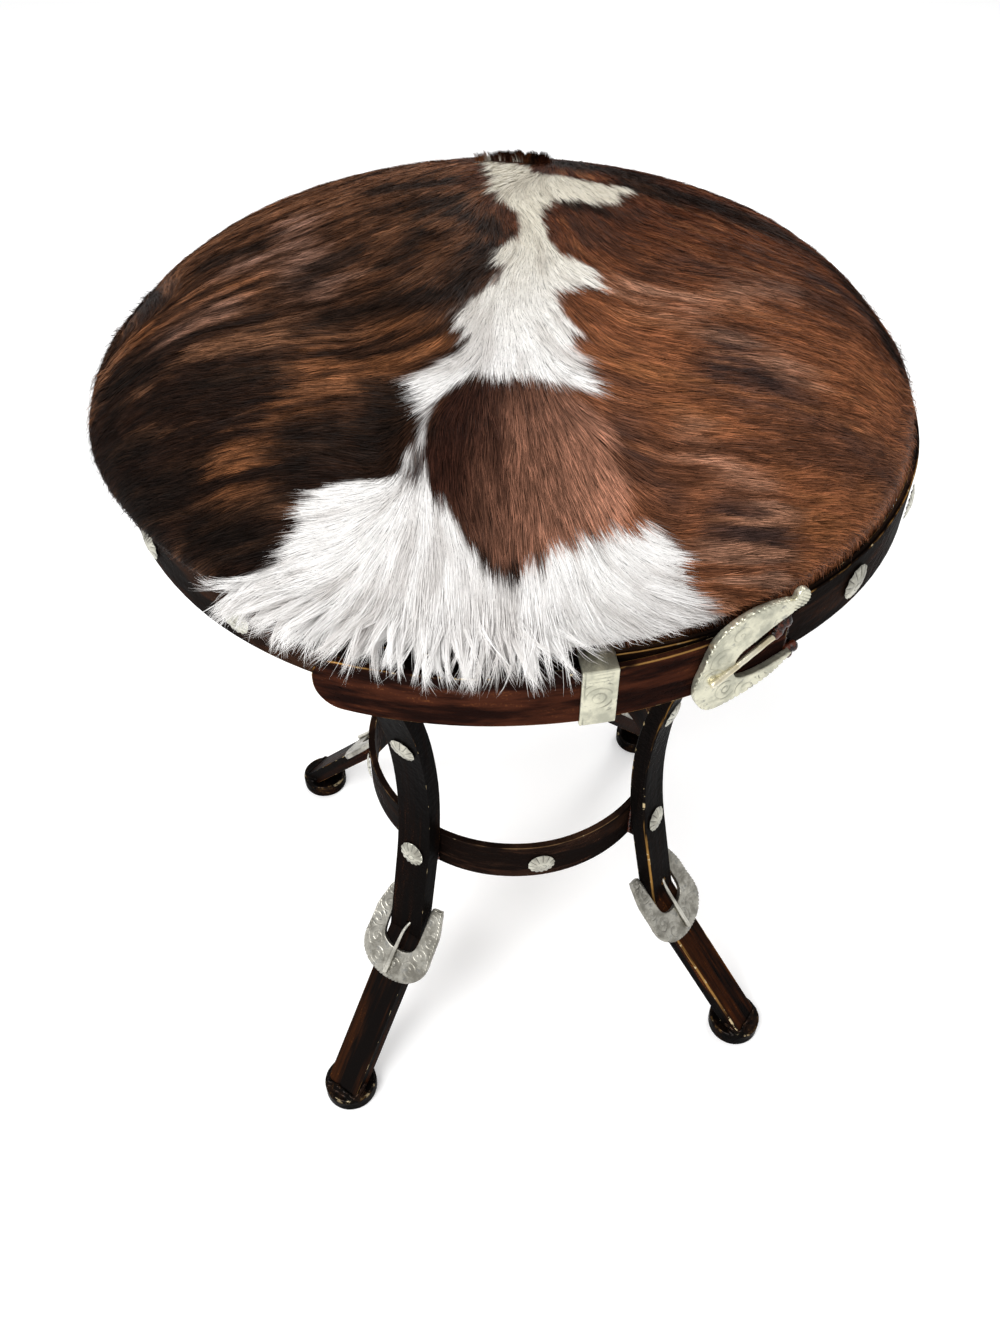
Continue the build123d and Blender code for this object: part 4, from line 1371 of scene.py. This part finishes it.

# %% [markdown]
# ## The coat's colours
#
# The coat is white, brown, black and brindled in patches, and the same finish serves the skin and
# the hair. A hair takes its colour from its root: the patch depths travel with it, so a patch's
# edge is drawn out along the hair as on a real hide. Each hair is a little lighter or darker than
# its neighbour, and lighter towards its tip.

# %% Coat finish
# under darkens the whole colour: 1 for the hair, and less for the skin, which is painted darker as the shade that lies
# between and under the hairs
def coat_finish(name, roughness, under):
    made, wire, shader = material(name)
    brindle, streak = wire.read("brindle"), wire.read("streak")
    shade, along, lock = wire.read("shade"), wire.read("along"), wire.read("lock")
    place = wire.read("flat", "Vector")
    left_to_right, front_to_back = place.part("X"), place.part("Y")
    ragged = (brindle - 0.5) * 0.026 + (streak - 0.5) * 0.022
    right_side = wire.read("right").rise(-0.01, 0.03)
    # the left side's brown, darker towards the front-left rim: the hide's own brown, with painted shade towards the rim
    left_brown_and_rim_shade = (left_to_right + front_to_back * 0.8).rise(-0.26, 0.06).blend("22140d", "64412c")
    right_brown = front_to_back.rise(-0.19, 0.07).blend("885437", "4a2717")
    brown = right_side.blend(left_brown_and_rim_shade, right_brown)
    brown = ((brindle * 0.4 + streak * 0.6).rise(0.5, 0.8) * 0.65).blend(brown, right_side.blend("895e43", "8f5c3c"))
    brown = ((brindle * 0.45 + streak * 0.55).rise(0.49, 0.26) * 0.7).blend(brown, right_side.blend("170e0a", "3f281e"))
    for patch, reach, streaks, share, colour in (
        ("orange", (-0.013, 0.016), (0.1, 0.7), 0.7, "865433"),
        # painted sheen: pinkish-grey strokes that stand for light on the hair
        ("pink_painted_sheen", (-0.013, 0.016), (0.0, 0.7), 0.8, right_side.blend("937060", "a87c64")),
        ("grey", (-0.011, 0.010), (1.15, 0.3), 0.95, "332826"),
    ):
        inside = (wire.read(patch) + ragged).rise(*reach)
        brown = (inside * streak.rise(*streaks) * share).blend(brown, colour)
    dark = (wire.read("dark") + ragged).rise(-0.009, 0.006)
    brown = (dark * 0.9).blend(brown, "130d0a")
    tongue = (wire.read("tongue") + (streak - 0.5) * 0.008).rise(-0.0025, 0.004)
    warm = (wire.read("warmth") + (brindle - 0.5) * 0.3 + (streak - 0.5) * 0.2).rise(-0.15, 0.9)
    brown = tongue.blend(brown, warm.blend("2f1a13", "a3725b"))
    white = (wire.read("white") + (streak - 0.5) * 0.008).rise(-0.0015, 0.0025)
    back_cream = front_to_back.rise(-0.12, 0.04)
    cream = back_cream.blend("f7f5f3", "e4decf")
    # greyer streaks in the white: painted shade between the strands
    cream = (streak.rise(0.55, 0.15) * 0.65).blend(cream, back_cream.blend("d2cdc9", "c9c1b1"))
    hairs = (shade * shade * 1.5 + 0.5) * (lock * 0.5 + 0.75) * (along * 0.8 + 0.62)
    # painted shade: hair and skin are darkened low on the side of the cushion
    painted_shade_below = 1 - wire.read("painted_shade_below") * 0.75
    dark_hair = brown.scaled(hairs * painted_shade_below * under)
    white_hairs = (shade * 0.16 + 0.88) * (lock * 0.08 + 0.96) * (along * 0.12 + 0.90)
    white_hair = cream.scaled(white_hairs * painted_shade_below * under)
    connect(shader, Base_Color=white.blend(dark_hair, white_hair), Roughness=roughness, Specular_IOR_Level=0.04)
    return made


hair_coat = coat_finish("hair of the hide", 0.45, 1.0)
# painted shade: the skin is darker than the hair, as the shade under the hair; without the hairs' own attributes it
# comes out darker still
skin_coat = coat_finish("skin of the hide", 0.8, 0.55)
cover = hand_over("hide_cushion", skin, skin_coat, "hide", "seat_cover", "seat_foam")
print("cushion covered")

# %% [markdown]
# ## Growing the hair
#
# Hair that is drawn as a texture looks printed, and Blender's own hair can't leave Blender, so
# each hair is a thin blade of three triangles, or seven where it is long. Geometry nodes scatter
# points on the skin, stand a blade on each, turn it along the lie, and then comb it: every point
# of a blade is set a small height over the nearest skin, so the coat wraps round the edge of the
# seat. The coat is grown in eight pieces, so that each of them stays light.

# %% One hair
def one_hair(name, droop, joints):
    """A blade, widest at its root and pointed at its tip, that arches and droops."""
    bm = bmesh.new()
    bmesh.ops.create_grid(bm, x_segments=1, y_segments=joints, size=0.5)
    side, along, rise = (bm.verts.layers.float.new(n) for n in ("side", "along", "rise"))
    for vert in bm.verts:
        share = vert.co.y + 0.5
        vert[side], vert[along] = vert.co.x * 2 * (1 - share), share
        vert[rise] = 0.12 * sin(pi * share * 0.62)
        arch = 0.16 * sin(pi * share * 0.8) - droop * share**2
        vert.co = (vert.co.x * (1 - 0.75 * share), share - droop * 0.12 * share**2, arch)
    tip = [v for v in bm.verts if v[along] > 0.99]
    bmesh.ops.pointmerge(bm, verts=tip, merge_co=sum((v.co for v in tip), Vector()) / 2)
    return bpy.data.objects.new(name, mesh_from(bm, name))


def grow(name, number, density, blade, width, seed, mask=None, out=0.55, reach=None, locks=(190.0, 30.0)):
    """One patch of hair. Without a mask it is combed onto the skin; with one it stands out from the edge."""
    tree = bpy.data.node_groups.new(name, "GeometryNodeTree")
    tree.interface.new_socket("Geometry", in_out="INPUT", socket_type="NodeSocketGeometry")
    tree.interface.new_socket("Geometry", in_out="OUTPUT", socket_type="NodeSocketGeometry")
    wire = Wire(tree)
    under = wire.node("NodeGroupInput")

    def attribute(title, kind="FLOAT"):
        return wire.node("GeometryNodeInputNamedAttribute", {"data_type": kind}, {"Name": title})

    def chance(low, high, salt, kind="FLOAT"):
        return wire.node("FunctionNodeRandomValue", {"data_type": kind},
                         {"Min": low, "Max": high, "Seed": seed * 31 + salt})

    def keep(geometry, title, value, kind="FLOAT", domain="POINT"):
        return wire.node("GeometryNodeStoreNamedAttribute", {"data_type": kind, "domain": domain},
                         {"Geometry": geometry, "Name": title, "Value": value})

    def own_vector(x, y, z):
        return wire.node("ShaderNodeCombineXYZ", {}, {"X": x, "Y": y, "Z": z})

    thick = attribute(mask) * density if mask else density
    here = True if mask else wire.node(
        "FunctionNodeCompare", {"data_type": "INT", "operation": "EQUAL"}, {"A": attribute("part", "INT"), "B": number}
    )
    dots = wire.node("GeometryNodeDistributePointsOnFaces", {"distribute_method": "RANDOM"},
                     {"Mesh": under, "Selection": here, "Density": thick, "Seed": seed})
    normal = dots.other("Normal")
    dots = keep(dots, "shade", chance(0.0, 1.0, 1))
    # the way it points: the lie, a shake, and a pull to the middle of its lock
    shake = chance((-1, -1, -1), (1, 1, 1), 2, "FLOAT_VECTOR")
    way = attribute("lie", "FLOAT_VECTOR").plus(shake.scaled(0.08))
    place = wire.node("GeometryNodeInputPosition")
    cell = wire.node("ShaderNodeTexVoronoi", {"feature": "F1"}, {"Vector": place, "Scale": locks[0]})
    dots = keep(dots, "lock", cell.other("Color").part("X"))
    way = way.plus(cell.other("Position").plus(place.scaled(-1.0)).scaled(locks[1]))
    if mask:
        astray = cell.other("Color").plus((-0.5, -0.5, -0.5)).scaled(0.9)
        way = way.plus(normal.scaled(out)).plus(astray)
    turn = wire.node("FunctionNodeAxesToRotation", {"primary_axis": "Y", "secondary_axis": "Z"},
                     {"Primary Axis": way, "Secondary Axis": normal})
    tall = chance(*reach, 3) if mask else attribute("length") * chance(0.7, 1.15, 3)
    shape = wire.node("GeometryNodeObjectInfo", {}, {"Object": blade}).other("Geometry")
    hairs = wire.node("GeometryNodeInstanceOnPoints", {},
                      {"Points": dots, "Instance": shape, "Rotation": turn, "Scale": own_vector(width, tall, tall)})
    # most hairs lie low, and a few stand off the others
    lift = chance(0.45, 1.25, 5) + chance(-2.2, 1.0, 6).math("MAXIMUM", chance(-16.0, 2.2, 6), 0.0)
    for title, value in (("tall", tall), ("tilt", chance(-1.0, 1.0, 4)), ("lift", lift)):
        hairs = keep(hairs, title, value, domain="INSTANCE")
    hairs = wire.node("GeometryNodeRealizeInstances", {}, {"Geometry": hairs})
    if not mask:
        place = wire.node("GeometryNodeInputPosition")
        nearest = wire.node("GeometryNodeProximity", {"target_element": "FACES"},
                            {"Geometry": under, "Sample Position": place})
        up = wire.node("GeometryNodeSampleNearestSurface", {"data_type": "FLOAT_VECTOR"},
                       {"Mesh": under, "Value": wire.node("GeometryNodeInputNormal"), "Sample Position": place})
        height = attribute("rise") * attribute("tall") * attribute("lift") * attribute("fluff")
        height = height + attribute("side") * attribute("tilt") * (width * 0.6) + 0.0001
        hairs = wire.node("GeometryNodeSetPosition", {},
                          {"Geometry": hairs, "Position": nearest.plus(up.scaled(height))})
    # its own place in a UV map called OFBake: its root on the layout, in the piece's square, and a small patch of its
    # own
    low, size = spans[number]
    spot = attribute("flat", "FLOAT_VECTOR").plus((-low[0], -low[1], 0.0)).times((1 / size, 1 / size, 0.0))
    own = own_vector(attribute("side") * (0.00015 / size), attribute("along") * (0.0009 / size), 0.0)
    hairs = keep(hairs, "OFBake", spot.plus(own), "FLOAT2", "CORNER")
    tree.links.new(hairs.socket, wire.node("NodeGroupOutput").inputs[0])
    patch = put(name, skin)
    patch.modifiers.new("hair", "NODES").node_group = tree
    mesh = taken(patch)
    bpy.data.objects.remove(patch)
    hand_over(name, mesh, hair_coat, "hide")
    print(name, len(mesh.polygons), "faces", [a.name for a in mesh.uv_layers])


spans = {}
for number in range(8):
    mine = flat[(turn_degrees // slice_degrees).astype(int) == number]
    low = mine.min(0) - 0.002
    spans[number] = (low, float((mine.max(0) - low).max()) + 0.003)
spans[8] = (flat.min(0) - 0.002, float(np.ptp(flat, axis=0).max()) + 0.005)

# %% [markdown]
# The front of the hide is white and long, and hangs over the strap in tufts. These hairs aren't
# combed down: they leave the edge outward and droop, and cells of a noise gather them into tufts.
# A small tuft of the same long hair stands up at the back, where the blaze starts.

# %% The coat and the fringe
short_hair, long_hair = one_hair("short hair", 0.0, 2), one_hair("long hair", 0.30, 4)
how_thick = 1.42e6
sides = ("right_back", "back_right", "back_left", "left_back", "left_front", "front_left", "front_right", "right_front")
for number, side in enumerate(sides):
    grow(f"coat_{side}", number, how_thick, short_hair, 0.28 * mm, number + 1)
long_width = 0.24 * mm
grow("coat_fringe", 8, 4.4e6, long_hair, long_width, 11, "fringe", reach=(0.012, 0.029), locks=(190.0, 80.0))
grow("coat_tuft", 8, 1.2e7, long_hair, long_width, 12, "tuft", 1.6, reach=(0.0045, 0.0095), locks=(260.0, 40.0))
for blade in (short_hair, long_hair):
    bpy.data.objects.remove(blade)

# %% [markdown]
# ## Floor and light
#
# The stool stands on a plain white floor in soft studio light. The surroundings are even and not
# too strong, with one broad lamp high on the left and a weaker one behind, so that colours come
# out as written and the bars still catch a long soft highlight.

# %% Floor, lamps and surroundings
floor_paper, wire, shader = material("floor paper")
rays = wire.node("ShaderNodeLightPath")
connect(shader, Base_Color="fafafa", Roughness=0.9, Specular_IOR_Level=0.0,
        Emission_Color=rays.blend("000000", "ffffff"), Emission_Strength=0.16)
bm = bmesh.new()
bmesh.ops.create_grid(bm, x_segments=1, y_segments=1, size=6.0)
floor_piece = put("floor", mesh_from(bm, "floor"))
floor_piece.data.materials.append(floor_paper)
floor_piece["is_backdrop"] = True

scene.view_settings.view_transform = "Standard"
studio = bpy.data.worlds.new("studio")
scene.world = studio
studio.use_nodes = True
sky = Wire(studio.node_tree)
rays = sky.node("ShaderNodeLightPath")
seen = rays.math("MAXIMUM", rays, rays.other("Is Transmission Ray"))
background = studio.node_tree.nodes["Background"]
background.inputs["Color"].default_value = (1, 1, 1, 1)
studio.node_tree.links.new((seen * 0.28 + 0.72).socket, background.inputs["Strength"])


def lamp(name, place, aim, size, power):
    light = bpy.data.lights.new(name, "AREA")
    light.shape, light.size, light.energy = "DISK", size, power
    facing = (Vector(aim) - Vector(place)).to_track_quat("-Z", "Y").to_matrix().to_4x4()
    put(name, light).matrix_world = Matrix.Translation(place) @ facing


lamp("broad lamp", (-1.3, -1.2, 2.4), (0, 0, 0.4), 1.6, 56)
lamp("back lamp", (1.4, 1.6, 1.9), (0, 0, 0.5), 1.2, 20)

# %% The sizes
low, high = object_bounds()
print("visual box", [round(v, 4) for v in (*low, *high)])
